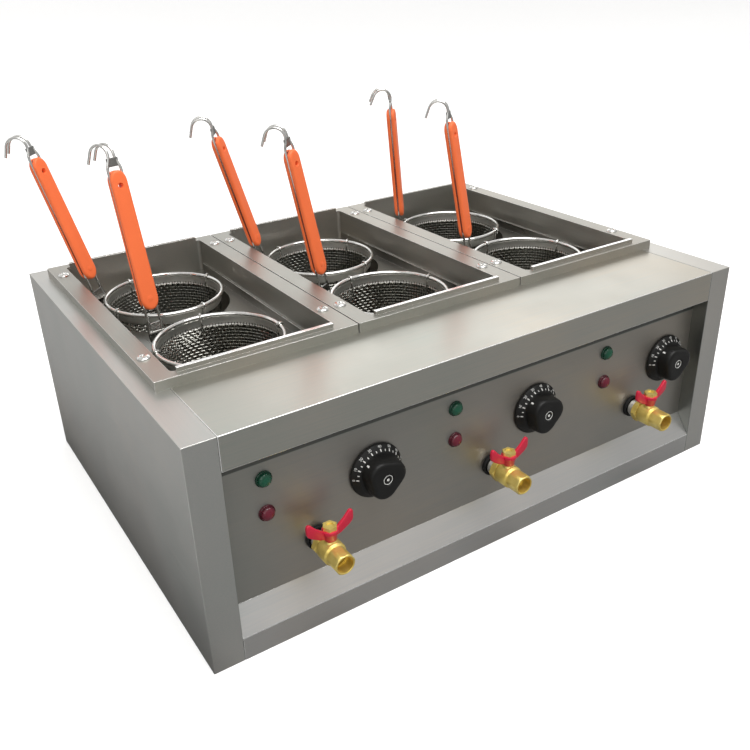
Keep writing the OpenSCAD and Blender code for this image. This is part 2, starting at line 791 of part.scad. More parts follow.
module tap_stem(i) {
    color(brass) at_stem(i) {
        difference() {
            union() {
                sphere(d = ball_d);
                cylinder(d = stem_d, h = stem_top);
            }
            rotate([0, 90, 0]) cylinder(d = pipe_bore, h = 2 * ball_d, center = true);
        }
        translate([0, 0, nut_z]) difference() {
            cylinder(d = nut_d, h = nut_h, $fn = 6);
            translate([0, 0, -overrun]) cylinder(d = stem_d + turn_room, h = nut_h + 2 * overrun);
        }
    }
}

module tap_handle(i) {
    end = wing_reach - wing_round;
    top = wing_rise + wing_h;
    color([0.78, 0.10, 0.20]) at_stem(i) translate([0, 0, hub_z]) difference() {
        union() {
            cylinder(d1 = hub_foot_d, d2 = hub_d, h = hub_h);
            for (x = [0, 1])
                mirror([x, 0, 0]) rotate([90, 0, 0]) linear_extrude(wing_t, center = true) {
                    polygon([[stem_d / 2, wing_root], [end, wing_rise], [wing_reach, wing_rise + wing_round],
                        [wing_reach, top - wing_round], [end, top], [stem_d / 2, hub_h]]);
                    for (z = [wing_rise + wing_round, top - wing_round])
                        translate([end, z]) circle(wing_round);
                }
        }
        translate([0, 0, -hub_h]) cylinder(d = stem_d + turn_room, h = 3 * hub_h);
        translate([0, 0, hub_h]) cylinder(d = nut_d + 2 * nut_room, h = top);
    }
}

// Supply
module cable_gland() {
    hex_d = gland_flats / cos(30);
    inside = sheet + gland_thread_l;
    color(black) translate([gland_x, half_d, gland_z]) rotate([-90, 0, 0]) difference() {
        union() {
            cylinder(d = hex_d, h = gland_hex_h, $fn = 6);
            cylinder(d = gland_cap_d, h = gland_out);
            translate([0, 0, -inside]) cylinder(d = gland_thread_d, h = inside);
            translate([0, 0, -sheet - gland_hex_h]) cylinder(d = hex_d, h = gland_hex_h, $fn = 6);
        }
        translate([0, 0, -2 * inside]) cylinder(d = gland_bore, h = 2 * inside + 2 * gland_out);
    }
}

module terminal_block() {
    pole = block_w / block_poles;
    color([0.85, 0.83, 0.76]) translate([gland_x, half_d - block_back, sheet]) difference() {
        translate([-block_w / 2, -block_d / 2, 0]) cube([block_w, block_d, block_h]);
        for (n = [0:block_poles - 1], y = [-1, 1])
            translate([(n + 0.5) * pole - block_w / 2, y * block_d / 4, block_h - block_well])
                cylinder(d = block_well_d, h = block_h);
    }
}

// Baskets
module at_basket(k) {
    translate([basket_x(k), basket_y(k), 0]) children();
}

module cup(k) {
    steps = 6;
    foot_r = cup_foot_r + cup_taper * cup_corner;
    outer = [for (n = [0:steps])
        [foot_r - cup_corner + cup_corner * sin(n * 90 / steps),
            cup_z + cup_corner - cup_corner * cos(n * 90 / steps)]];
    inner_corner = cup_corner - cup_wall;
    inner = [for (n = [steps:-1:0])
        [foot_r - cup_corner + inner_corner * sin(n * 90 / steps),
            cup_z + cup_corner - inner_corner * cos(n * 90 / steps)]];
    color(bright_steel) at_basket(k) rotate_extrude()
        polygon(concat([[0, cup_z]], outer, [[cup_top_r, cup_top_z], [cup_top_r - cup_wall, cup_top_z]],
            inner, [[0, cup_z + cup_wall]]));
}

// The four upright wires, set into the ring's underside
module ribs(k) {
    out = rib_wire / 2 + basket_room;
    low_z = cup_z + cup_corner;
    low_r = cup_foot_r + cup_taper * cup_corner + out;
    top_r = cup_top_r + out;
    tilt = atan2(low_r - top_r, low_z - ring_z);
    length = norm([low_r - top_r, low_z - ring_z]);
    for (n = [0:3])
        rotate([0, 0, handle_yaw(k) + 45 + 90 * n]) translate([top_r, 0, ring_z])
            rotate([0, tilt, 0]) cylinder(d = rib_wire, h = length);
}

// A handle's frame: local Z along the grip, local X to its outer side, local Y from leg to leg
module at_handle(k) {
    at_basket(k) translate([0, 0, ring_z]) rotate([0, 0, handle_yaw(k)]) translate([handle_reach, 0, 0])
        rotate([0, handle_lean(k), 0]) rotate([-handle_sway(k), 0, 0]) rotate([0, 0, handle_turn]) children();
}

module handle_wire() {
    bend_r = leg_gap / 2;
    low = bend_r - leg_foot;
    translate([0, 0, low]) rotate([-90, 0, 90]) rotate_extrude(angle = 180) translate([bend_r, 0])
        circle(d = leg_wire);
    for (y = [-bend_r, bend_r]) {
        translate([0, y, low]) cylinder(d = leg_wire, h = hook_z - low);
        translate([hook_r, y, hook_z]) rotate([90, 0, 0]) rotate_extrude(angle = 180) translate([hook_r, 0])
            circle(d = leg_wire);
        translate([2 * hook_r, y, hook_z - hook_tip]) cylinder(d = leg_wire, h = hook_tip);
    }
    translate([0, 0, grip_z + grip_l + hook_neck / 2]) cube([bridge_t, leg_gap, bridge_h], center = true);
}

module frame(k) {
    color(bright_steel) {
        at_basket(k) {
            translate([0, 0, ring_z]) rotate_extrude() translate([ring_r, 0]) circle(d = ring_wire);
            ribs(k);
        }
        at_handle(k) handle_wire();
    }
}

module grip(k) {
    channel_d = leg_wire + 2 * basket_room;
    color([0.93, 0.36, 0.16]) at_handle(k) translate([0, 0, grip_z]) difference() {
        intersection() {
            translate([0, 0, grip_l / 2]) rotate([90, 0, 90]) linear_extrude(grip_t, center = true)
                slot(grip_w, grip_l);
            linear_extrude(grip_l) rounded_rect(grip_t, grip_w, grip_round);
        }
        cube([grip_gap, 2 * grip_w, 3 * grip_l], center = true);
        for (y = [-1, 1]) {
            translate([0, y * leg_gap / 2, -overrun]) cylinder(d = channel_d, h = grip_l + 2 * overrun);
            translate([0, y * (leg_gap / 2 + grip_w / 2), grip_l / 2])
                cube([grip_groove, grip_w, 2 * grip_l], center = true);
        }
        translate([0, 0, grip_l - grip_hole_drop]) rotate([0, 90, 0])
            cylinder(d = grip_hole_d, h = 2 * grip_t, center = true);
    }
}

left_side_panel();
right_side_panel();
front_deck();
control_panel();
front_sill();
back_panel();
base_pan();
tank_rails();
tank_screws();
back_screws();
tank(0);  // left_tank
tank(1);  // middle_tank
tank(2);  // right_tank
basket_plate(0);  // left_basket_plate
basket_plate(1);  // middle_basket_plate
basket_plate(2);  // right_basket_plate
heating_elements();
heater_guards();
thermostats();
thermostat_shaft(0);  // left_thermostat_shaft
thermostat_shaft(1);  // middle_thermostat_shaft
thermostat_shaft(2);  // right_thermostat_shaft
knob(0);  // left_knob
knob(1);  // middle_knob
knob(2);  // right_knob
lenses(green_z, [0.05, 0.35, 0.25]);  // green_lenses
lenses(red_z, [0.45, 0.08, 0.14]);  // red_lenses
lamp_bodies();
drain_pipes();
tap_gaskets();
tap_body(0);  // left_tap_body
tap_body(1);  // middle_tap_body
tap_body(2);  // right_tap_body
tap_stem(0);  // left_tap_stem
tap_stem(1);  // middle_tap_stem
tap_stem(2);  // right_tap_stem
tap_handle(0);  // left_tap_handle
tap_handle(1);  // middle_tap_handle
tap_handle(2);  // right_tap_handle
cable_gland();
terminal_block();
cup(0);  // left_front_cup
cup(1);  // left_back_cup
cup(2);  // middle_front_cup
cup(3);  // middle_back_cup
cup(4);  // right_front_cup
cup(5);  // right_back_cup
frame(0);  // left_front_frame
frame(1);  // left_back_frame
frame(2);  // middle_front_frame
frame(3);  // middle_back_frame
frame(4);  // right_front_frame
frame(5);  // right_back_frame
grip(0);  // left_front_grip
grip(1);  // left_back_grip
grip(2);  // middle_front_grip
grip(3);  // middle_back_grip
grip(4);  // right_front_grip
grip(5);  // right_back_grip
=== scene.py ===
"""Looks of the pasta cooker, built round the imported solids. Sizes are in millimetres until a mesh is made."""
import json
from math import asin, atan2, copysign, cos, degrees, hypot, inf, pi, radians, sin, sqrt, tan
import bpy
import bmesh
from mathutils import Matrix, Vector


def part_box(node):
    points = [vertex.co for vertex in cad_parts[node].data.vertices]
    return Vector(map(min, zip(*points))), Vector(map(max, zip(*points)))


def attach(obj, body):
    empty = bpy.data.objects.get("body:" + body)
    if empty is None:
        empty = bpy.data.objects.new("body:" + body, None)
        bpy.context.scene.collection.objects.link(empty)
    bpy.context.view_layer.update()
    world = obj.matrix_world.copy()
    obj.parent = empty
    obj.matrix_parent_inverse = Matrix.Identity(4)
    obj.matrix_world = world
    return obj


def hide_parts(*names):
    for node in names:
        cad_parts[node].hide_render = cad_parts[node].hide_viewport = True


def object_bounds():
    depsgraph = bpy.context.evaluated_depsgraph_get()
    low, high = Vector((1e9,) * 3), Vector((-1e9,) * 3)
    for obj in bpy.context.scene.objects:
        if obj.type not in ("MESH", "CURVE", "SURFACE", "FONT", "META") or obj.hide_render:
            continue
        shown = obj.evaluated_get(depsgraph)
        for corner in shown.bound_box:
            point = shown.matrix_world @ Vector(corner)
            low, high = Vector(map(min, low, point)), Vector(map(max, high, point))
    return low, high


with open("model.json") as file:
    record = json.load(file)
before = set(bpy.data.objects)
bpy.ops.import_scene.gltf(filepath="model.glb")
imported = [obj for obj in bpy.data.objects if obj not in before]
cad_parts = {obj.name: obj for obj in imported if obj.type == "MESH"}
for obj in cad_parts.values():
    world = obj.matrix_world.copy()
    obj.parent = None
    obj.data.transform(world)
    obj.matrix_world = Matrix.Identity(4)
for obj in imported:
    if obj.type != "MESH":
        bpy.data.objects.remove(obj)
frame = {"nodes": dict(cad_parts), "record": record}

cad_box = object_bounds()
nodes = frame["nodes"]
MM = 0.001
SIDES = ("left", "middle", "right")
BASKETS = [side + "_" + row for side in SIDES for row in ("front", "back")]


# Places read from the frame
def box(node):
    low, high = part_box(node)
    return low / MM, high / MM


def middle(node):
    low, high = box(node)
    return (low + high) / 2


TANK = [middle(side + "_tank") for side in SIDES]
CUP = [middle(key + "_cup") for key in BASKETS]
PANEL_Y = box("control_panel")[0].y
RIM_SCREW_D, RIM_SCREW_H = 14.0, 3.0
RIM_TOP = box("tank_screws")[1].z - RIM_SCREW_H
PLATE_TOP = box("left_basket_plate")[1].z


# Materials
class Shader:
    """A node material: one principled shader whose inputs come from patterns in object space."""

    def __init__(self, name, **fixed):
        self.material = bpy.data.materials.new(name)
        self.material.use_nodes = True
        self.tree = self.material.node_tree
        self.tree.nodes.clear()
        out = self.add("ShaderNodeOutputMaterial")
        self.shader = self.add("ShaderNodeBsdfPrincipled", **fixed)
        self.join(self.shader.outputs[0], out.inputs[0])
        self.coords = self.add("ShaderNodeTexCoord").outputs["Object"]

    def add(self, kind, **values):
        """A new node. Each value goes to the input of that name, with spaces for underscores."""
        node = self.tree.nodes.new(kind)
        for key, value in values.items():
            node.inputs[key.replace("_", " ")].default_value = value
        return node

    def join(self, a, b):
        self.tree.links.new(a, b)

    def placed(self, scale, shift):
        scale = scale if hasattr(scale, "__len__") else (scale, scale, scale)
        place = self.add("ShaderNodeMapping", Location=shift, Scale=scale)
        self.join(self.coords, place.inputs["Vector"])
        return place.outputs[0]

    def noise(self, scale, detail, rough, shift=(0, 0, 0)):
        n = self.add("ShaderNodeTexNoise", Scale=1.0, Detail=detail, Roughness=rough)
        self.join(self.placed(scale, shift), n.inputs["Vector"])
        return n.outputs["Fac"]

    def span(self, value, low, high, to_low, to_high):
        m = self.add("ShaderNodeMapRange", From_Min=low, From_Max=high, To_Min=to_low, To_Max=to_high)
        self.join(value, m.inputs["Value"])
        return m.outputs[0]

    def maths(self, operation, a, b):
        m = self.add("ShaderNodeMath")
        m.operation = operation
        self.join(a, m.inputs[0])
        self.join(b, m.inputs[1])
        return m.outputs[0]

    def blend(self, a, b, share):
        return self.maths("ADD", self.span(a, 0.0, 1.0, 0.0, 1.0 - share), self.span(b, 0.0, 1.0, 0.0, share))

    def axis(self, letter):
        split = self.add("ShaderNodeSeparateXYZ")
        self.join(self.coords, split.inputs[0])
        return split.outputs[letter]

    def colours(self, value, stops):
        r = self.add("ShaderNodeValToRGB")
        ramp = r.color_ramp.elements
        for end in (0, -1):
            ramp[end].position, colour = stops[end]
            ramp[end].color = (*colour, 1)
        for at, colour in stops[1:-1]:
            ramp.new(at).color = (*colour, 1)
        self.join(value, r.inputs[0])
        self.join(r.outputs[0], self.shader.inputs["Base Color"])

    def rough(self, value, low, high):
        self.join(self.span(value, 0.3, 0.7, low, high), self.shader.inputs["Roughness"])

    def bump(self, value, strength, distance):
        b = self.add("ShaderNodeBump", Strength=strength, Distance=distance)
        self.join(value, b.inputs["Height"])
        self.join(b.outputs[0], self.shader.inputs["Normal"])


def shade(colour, k):
    return tuple(min(1.0, c * k) for c in colour)


# Painted shadow under the header and painted shade on the posts' inner returns: the softness of the shadow's
# edge in metres, and the pattern values that each pulls the steel down to.
SHADOW_BLUR = 0.003
SHADOW_TONE, RETURN_SHADE_TONE = 0.08, 0.14


def brushed(name, colour, rough, grain, streak, tint, walls=0.0, shadow_z=None, return_x=None):
    """Satin sheet: fine streaks along one axis, broad clouds of a warmer and a cooler grey, a few smudges.
    Below the rims its roughness changes by walls. From shadow_z upwards it has a painted shadow of the
    header, and closer to the middle than return_x a painted shade of the posts. Both are in metres."""
    s = Shader(name, Metallic=1.0)
    lines = s.noise(grain, 4.0, 0.65)
    cloud = s.noise(5.5, 2.0, 0.45, (3.1, 1.7, 0.4))
    both = s.blend(lines, cloud, 0.55)
    if shadow_z is not None:
        # Painted shadow of the header: darker from shadow_z upwards.
        header = s.span(s.axis("Z"), shadow_z - SHADOW_BLUR, shadow_z, 1.0, SHADOW_TONE)
        both = s.maths("MINIMUM", both, header)
    if return_x is not None:
        # Painted shade of the posts: darker closer to the middle than return_x.
        aside = s.maths("MULTIPLY", s.axis("X"), s.axis("X"))
        inner = s.span(aside, return_x ** 2, (return_x + MM) ** 2, RETURN_SHADE_TONE, 1.0)
        both = s.maths("MINIMUM", both, inner)
    warm = (colour[0] * (1 + tint), colour[1], colour[2] * (1 - tint))
    cool = (colour[0] * (1 - tint), colour[1] * 1.01, colour[2] * (1 + 0.3 * tint))
    # The darkest stop is reached only through the painted shadow and shade.
    s.colours(both, [(0.0, shade(cool, 0.2)), (0.34, shade(cool, 1 - streak)), (0.5, colour),
                     (0.66, shade(warm, 1 + streak))])
    smudge = s.noise(16.0, 3.0, 0.6, (0.3, 5.2, 2.2))
    satin = s.span(s.blend(lines, smudge, 0.45), 0.3, 0.7, rough - 0.06, rough + 0.08)
    if walls:
        satin = s.maths("ADD", satin, s.span(s.axis("Z"), (RIM_TOP - 8) * MM, (RIM_TOP - 4) * MM, walls, 0.0))
    s.join(satin, s.shader.inputs["Roughness"])
    s.bump(lines, 0.10, 0.0002)
    return s.material


def wire_steel(name, colour, low, high):
    """Drawn or polished steel, with a roughness between low and high."""
    s = Shader(name, Metallic=1.0)
    n = s.noise(220.0, 3.0, 0.6)
    s.colours(n, [(0.3, shade(colour, 0.86)), (0.7, shade(colour, 1.06))])
    s.rough(s.noise(60.0, 2.0, 0.5, (1, 2, 3)), low, high)
    s.bump(n, 0.05, 0.0001)
    return s.material


def moulded(name, colour, rough, grain, vary=0.10, strength=0.10, **fixed):
    """Moulded plastic or rubber: fine grain, a slow drift of colour."""
    s = Shader(name, **fixed)
    fine = s.noise(grain, 2.0, 0.55)
    slow = s.noise(24.0, 2.0, 0.5, (4, 1, 2))
    s.colours(s.blend(fine, slow, 0.7), [(0.32, shade(colour, 1 - vary)), (0.68, shade(colour, 1 + vary))])
    s.rough(s.blend(fine, slow, 0.4), rough - 0.05, rough + 0.07)
    s.bump(fine, strength, 0.0002)
    return s.material


def brass_metal(name):
    """Cast brass. It is not all metal, so that it stays yellow where it mirrors the dark panel."""
    s = Shader(name, Metallic=0.72)
    cast = s.noise(130.0, 4.0, 0.6)
    slow = s.noise(30.0, 2.0, 0.5, (2, 7, 1))
    s.colours(s.blend(cast, slow, 0.6),
              [(0.30, (0.66, 0.47, 0.10)), (0.5, (0.86, 0.66, 0.18)), (0.70, (0.97, 0.80, 0.29))])
    s.rough(slow, 0.28, 0.40)
    s.bump(cast, 0.08, 0.0002)
    return s.material


def tinted_lens(name, edge, lit_centre):
    """A ribbed lens of one tint: darker towards its rim and lighter in its middle, as painted shade and
    painted light, by a share that the mesh gives each point as an attribute.
    """
    s = Shader(name, IOR=1.49, Specular_IOR_Level=0.35, Coat_Weight=0.25, Coat_Roughness=0.05)
    mark = s.add("ShaderNodeAttribute")
    mark.attribute_name = "lit_centre"
    lit_share = s.blend(mark.outputs["Fac"], s.noise(300.0, 2.0, 0.5), 0.18)
    s.colours(lit_share, [(0.05, edge), (0.25, shade(lit_centre, 0.8)), (0.80, lit_centre)])
    s.rough(s.noise(90.0, 2.0, 0.5), 0.10, 0.20)
    return s.material


ALONG_X, ALONG_Y = (7.0, 640.0, 640.0), (640.0, 7.0, 640.0)
HEADER_LOW = box("front_deck")[0].z
# The painted shadow on the panel reaches HEADER_SHADOW below the header's lower edge, and the posts' painted
# shade covers all that lies closer to the middle than RETURN_X.
HEADER_SHADOW = 16.0
SHADOW_Z = (HEADER_LOW - HEADER_SHADOW) * MM
RETURN_X = (box("front_deck")[1].x + 0.3) * MM
MATS = {
    # Deck, side, back and sill are one steel. The deck, side and sill tones are set apart to match how light
    # falls on each, which is painted light and shade, and the back takes the side's tone. The panel's darker
    # tone is painted shade in its recess.
    "deck": brushed("deck_steel", (0.505, 0.493, 0.446), 0.33, ALONG_X, 0.07, 0.06),
    "side": brushed("side_steel", (0.565, 0.56, 0.535), 0.38, ALONG_Y, 0.06, 0.03, return_x=RETURN_X),
    "back": brushed("back_steel", (0.565, 0.56, 0.535), 0.40, ALONG_X, 0.06, 0.03),
    "panel": brushed("panel_steel", (0.40, 0.387, 0.357), 0.49, ALONG_X, 0.08, 0.05, shadow_z=SHADOW_Z),
    "sill": brushed("sill_steel", (0.585, 0.58, 0.567), 0.36, ALONG_X, 0.06, 0.03),
    "tank": brushed("tank_steel", (0.435, 0.421, 0.384), 0.42, ALONG_Y, 0.08, 0.04, walls=-0.02),
    "plate": brushed("plate_steel", (0.30, 0.29, 0.27), 0.30, ALONG_Y, 0.07, 0.04),
    "band": brushed("band_steel", (0.74, 0.73, 0.69), 0.42, ALONG_X, 0.05, 0.03),
    # Near-white steel for the folds and hems of the bright sheets: a painted highlight along their edges.
    "fold": wire_steel("fold_highlight_steel", (0.97, 0.965, 0.94), 0.22, 0.32),
    "polished": wire_steel("polished_steel", (0.80, 0.795, 0.77), 0.07, 0.15),
    "foot": wire_steel("foot_steel", (0.34, 0.335, 0.32), 0.10, 0.20),
    "screw": wire_steel("screw_steel", (0.78, 0.775, 0.75), 0.08, 0.16),
    "woven": wire_steel("woven_wire", (0.33, 0.325, 0.295), 0.12, 0.22),
    "heater": wire_steel("heater_sheath", (0.26, 0.25, 0.235), 0.35, 0.5),
    "instrument": wire_steel("plated_housing", (0.42, 0.42, 0.42), 0.3, 0.45),
    "black": moulded("black_plastic", (0.008, 0.008, 0.0075), 0.45, 900.0, 0.15, 0.08,
                     Specular_IOR_Level=0.28),
    "rubber": moulded("black_rubber", (0.007, 0.007, 0.007), 0.60, 700.0, 0.2, 0.2, Specular_IOR_Level=0.3),
    "orange": moulded("orange_plastic", (1.0, 0.185, 0.055), 0.42, 800.0, 0.06, 0.08, Specular_IOR_Level=0.4),
    # Dark brown for the grip's parting groove: painted shade in the groove.
    "seam": moulded("grip_groove_shade", (0.15, 0.022, 0.008), 0.55, 700.0),
    "crimson": moulded("crimson_paint", (0.62, 0.013, 0.048), 0.30, 500.0, 0.08, 0.06, Specular_IOR_Level=0.4,
                       Coat_Weight=0.2, Coat_Roughness=0.10),
    "brass": brass_metal("cast_brass"),
    # Each lens tint: the rim's colour with painted shade, then the middle's colour with painted light.
    "green": tinted_lens("green_lens", (0.003, 0.036, 0.020), (0.009, 0.100, 0.052)),
    "red": tinted_lens("red_lens", (0.050, 0.004, 0.010), (0.165, 0.013, 0.030)),
    "print": moulded("white_print", (0.80, 0.80, 0.77), 0.45, 600.0, 0.06, 0.05),
    "block": moulded("block_plastic", (0.66, 0.63, 0.55), 0.5, 700.0),
}
BY_SLOT = {"casing_steel": "deck", "panel_steel": "panel", "tank_steel": "tank", "polished_steel": "polished",
           "mesh_steel": "woven", "heater_steel": "heater", "instrument_metal": "instrument",
           "black_plastic": "black", "green_lens": "green", "red_lens": "red", "brass": "brass",
           "red_paint": "crimson", "rubber": "rubber", "orange_plastic": "orange", "block_plastic": "block"}
BY_NODE = {"left_side_panel": "side", "right_side_panel": "side", "back_panel": "back", "base_pan": "back",
           "front_sill": "sill", **{side + "_basket_plate": "plate" for side in SIDES}}
SLOT_OF = {part["node"]: part["material_slot"] for part in frame["record"]["subparts"]}
FINISH_OF = {node: MATS[BY_NODE.get(node) or BY_SLOT[slot]] for node, slot in SLOT_OF.items()}
for node, finish in FINISH_OF.items():
    for held in nodes[node].material_slots:
        held.material = finish


# Mesh helpers
SMOOTH_LIMIT = radians(38)


def finish_mesh(mesh):
    """Turns all faces outwards and shades them smooth up to the sharp edges."""
    work = bmesh.new()
    work.from_mesh(mesh)
    bmesh.ops.recalc_face_normals(work, faces=work.faces)
    for f in work.faces:
        f.smooth = True
    for e in work.edges:
        if len(e.link_faces) == 2 and e.calc_face_angle(0) > SMOOTH_LIMIT:
            e.smooth = False
    work.to_mesh(mesh)
    work.free()


def make_mesh(name, shape, finish):
    verts, faces = shape
    mesh = bpy.data.meshes.new(name)
    mesh.from_pydata([Vector(v) * MM for v in verts], [], faces)
    finish_mesh(mesh)
    mesh.materials.append(MATS[finish])
    return mesh


def new_object(name, data):
    """An object in the scene."""
    o = bpy.data.objects.new(name, data)
    bpy.context.scene.collection.objects.link(o)
    return o


def put(name, mesh, body, place=None, hide=()):
    """Sets a piece in place, lets it ride on a body and hides the nodes that it stands for."""
    o = new_object(name, mesh)
    if place is not None:
        o.matrix_world = place
    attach(o, body)
    if hide:
        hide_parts(*hide)


def at(x, y, z):
    """A place in the frame, which is in metres."""
    return Matrix.Translation(Vector((x, y, z)) * MM)


def shift(x, y, z):
    """A move within a shape, which is in millimetres."""
    return Matrix.Translation((x, y, z))


def turn(degrees, axis):
    return Matrix.Rotation(radians(degrees), 4, axis)


def on_panel(x, z):
    """A place on the control panel's face: local Z to the front, local Y up."""
    return at(x, PANEL_Y, z) @ turn(90, "X")


def skin(rings, closed=False):
    """Faces between neighbouring rings of point numbers. A ring of one point is a tip."""
    faces = []
    pairs = zip(rings, rings[1:] + rings[:1]) if closed else zip(rings, rings[1:])
    for a, b in pairs:
        for i in range(max(len(a), len(b))):
            j = (i + 1) % max(len(a), len(b))
            if len(a) == 1:
                faces.append((a[0], b[i], b[j]))
            elif len(b) == 1:
                faces.append((a[i], a[j], b[0]))
            else:
                faces.append((a[i], a[j], b[j], b[i]))
    return faces


def capped(rings):
    """Faces between neighbouring rings, and one across each end."""
    return skin(rings) + [tuple(rings[0]), tuple(reversed(rings[-1]))]


def loft(levels, steps, radius, closed=False):
    """Rings round Z: levels are (z, key), and radius(angle, key) is each point's distance from the axis."""
    verts, rings = [], []
    for z, key in levels:
        ring = []
        for i in range(steps):
            a = 2 * pi * i / steps
            r = radius(a, key)
            if r < 1e-6:
                verts.append((0, 0, z))
                ring = [len(verts) - 1]
                break
            ring.append(len(verts))
            verts.append((r * cos(a), r * sin(a), z))
        rings.append(ring)
    return verts, skin(rings, closed)


def lathe(profile, steps, closed=False):
    """Turns (r, z) points round Z."""
    return loft([(z, r) for r, z in profile], steps, lambda a, r: r, closed)


def tube(points, radius, sides, closed=False):
    """A wire along points, with ends capped unless it is closed."""
    pts = [Vector(p) for p in points]
    n = len(pts)
    verts, rings = [], []
    side = None
    for i, p in enumerate(pts):
        ahead = pts[(i + 1) % n] if closed or i + 1 < n else p
        behind = pts[i - 1] if closed or i > 0 else p
        way = (ahead - behind).normalized()
        if side is None:
            side = way.orthogonal().normalized()
        side = (side - way * side.dot(way)).normalized()
        up = way.cross(side)
        rings.append(list(range(len(verts), len(verts) + sides)))
        for s in range(sides):
            a = 2 * pi * s / sides
            verts.append(p + side * (radius * cos(a)) + up * (radius * sin(a)))
    return verts, skin(rings, closed=True) if closed else capped(rings)


def circle(r, z, steps):
    """Points round Z."""
    turns = [2 * pi * i / steps for i in range(steps)]
    return [(r * cos(a), r * sin(a), z) for a in turns]


def gather(*shapes):
    """Several shapes as one."""
    verts, faces = [], []
    for v, f in shapes:
        base = len(verts)
        verts += [Vector(p) for p in v]
        faces += [tuple(base + i for i in face) for face in f]
    return verts, faces


def moved(shape, matrix):
    verts, faces = shape
    return [matrix @ Vector(v) for v in verts], faces


def baked(o):
    """The mesh of an object with its modifiers applied. The object itself goes."""
    bpy.context.view_layer.update()
    mesh = bpy.data.meshes.new_from_object(o.evaluated_get(bpy.context.evaluated_depsgraph_get()))
    bpy.data.objects.remove(o)
    return mesh


def shape_of(mesh, unit=MM):
    """A mesh as a shape again. The mesh itself goes."""
    shape = [v.co / unit for v in mesh.vertices], [tuple(p.vertices) for p in mesh.polygons]
    bpy.data.meshes.remove(mesh)
    return shape


# Sheets and castings: copies of the solids with round folds and eased edges
STRIP, HEM = 1, 2
FLAT_LIMIT, LEVEL_LIMIT, JOIN_LIMIT = radians(32), radians(0.1), radians(0.6)
WELD = 0.02
BACK_HEM_Y, FACING_UP = 200.0, 0.8


def reach(face, edge):
    """How far a face spreads at right angles to one of its edges, in millimetres."""
    along = (edge.verts[1].co - edge.verts[0].co).normalized()
    across = face.normal.cross(along)
    spread = [across.dot(v.co) for v in face.verts]
    return (max(spread) - min(spread)) / MM


def shaded(mesh):
    """Flat faces keep their own normal, and the rounded strips lead from one flat face to the next."""
    limit = cos(FLAT_LIMIT)
    facing = [p.normal.copy() for p in mesh.polygons]
    flat = [p.material_index != STRIP for p in mesh.polygons]
    area = [p.area for p in mesh.polygons]
    around = [[] for _ in mesh.vertices]
    for p in mesh.polygons:
        p.use_smooth = True
        for v in p.vertices:
            around[v].append(p.index)
    normals = []
    for p in mesh.polygons:
        for v in p.vertices:
            group = [q for q in around[v] if flat[q]]
            if group:
                lead = p.index if flat[p.index] else max(group, key=lambda q: facing[q].dot(facing[p.index]))
                group = [q for q in group if facing[q].dot(facing[lead]) > limit]
            else:
                group = around[v]
            normals.append(sum((facing[q] * area[q] for q in group), Vector()).normalized())
    mesh.normals_split_custom_set(normals)


def rounded(node, name, body, fold, trim, wide, steps=4, joined=False, bright=False, hem_z=inf):
    """Outer edges between faces wider than wide get the radius fold, all other sharp edges the radius trim.
    Faces in one plane are joined first where none of them has a hole. Bright sheets have their folds, and
    their hems above hem_z, in a near-white steel that paints a highlight along them; only the tops of the
    hems at the back keep the sheet's own finish."""
    mesh = bpy.data.meshes.new(name)
    work = bmesh.new()
    work.from_mesh(nodes[node].data)
    bmesh.ops.remove_doubles(work, verts=work.verts, dist=WELD * MM)
    if joined:
        bmesh.ops.dissolve_limit(work, angle_limit=JOIN_LIMIT, verts=work.verts, edges=work.edges)
    else:
        level = [e for e in work.edges if len(e.link_faces) == 2 and e.calc_face_angle(0) < LEVEL_LIMIT]
        bmesh.ops.beautify_fill(work, faces=work.faces, edges=level)
    weights = []
    for e in work.edges:
        weight = 0.0
        if len(e.link_faces) == 2 and e.calc_face_angle(0) > FLAT_LIMIT:
            broad = min(reach(f, e) for f in e.link_faces) > wide
            weight = 1.0 if broad and e.is_convex else trim / fold
        weights.append(weight)
    for f in work.faces:
        centre = f.calc_center_median() / MM
        flat_at_back = centre.y > BACK_HEM_Y and f.normal.z > FACING_UP
        f.material_index = HEM if centre.z > hem_z and not flat_at_back else 0
    work.to_mesh(mesh)
    work.free()
    mesh.attributes.new("bevel_weight_edge", "FLOAT", "EDGE").data.foreach_set("value", weights)
    mesh.materials.append(FINISH_OF[node])
    # On bright sheets the strips and hems take the near-white steel, a painted highlight.
    for _ in (STRIP, HEM):
        mesh.materials.append(MATS["fold"] if bright else FINISH_OF[node])
    o = new_object(name, mesh)
    edge = o.modifiers.new("edge", "BEVEL")
    edge.width = fold * MM
    edge.segments = steps
    edge.limit_method = "WEIGHT"
    edge.miter_outer = "MITER_ARC"
    edge.material = STRIP
    mesh = baked(o)
    shaded(mesh)
    put(name, mesh, body, hide=(node,))


SHEETS = (("left_side_panel", 2.2, False), ("right_side_panel", 2.2, False), ("front_deck", 2.4, True),
          ("front_sill", 2.0, True), ("base_pan", 1.6, False))
TANK_HEM_Z, PLATE_HEM_Z = RIM_TOP + 3, PLATE_TOP - 0.2
for node, fold, bright in SHEETS:
    rounded(node, node + "_sheet", "casing", fold, trim=0.35, wide=6.0, joined=True, bright=bright)
rounded("tap_gaskets", "tap_rubber_rings", "casing", fold=1.0, trim=0.3, wide=2.0, steps=3)
for side in SIDES:
    rounded(side + "_tank", side + "_tank_sheet", "casing", fold=1.6, trim=0.4, wide=3.5, bright=True,
            hem_z=TANK_HEM_Z)
    rounded(side + "_basket_plate", side + "_plate_sheet", "casing", fold=1.0, trim=0.35, wide=6.0, steps=3,
            bright=True, hem_z=PLATE_HEM_Z)
    rounded(side + "_tap_stem", side + "_tap_spindle", side + "_tap_valve", fold=0.8, trim=0.3, wide=3.0,
            steps=3)


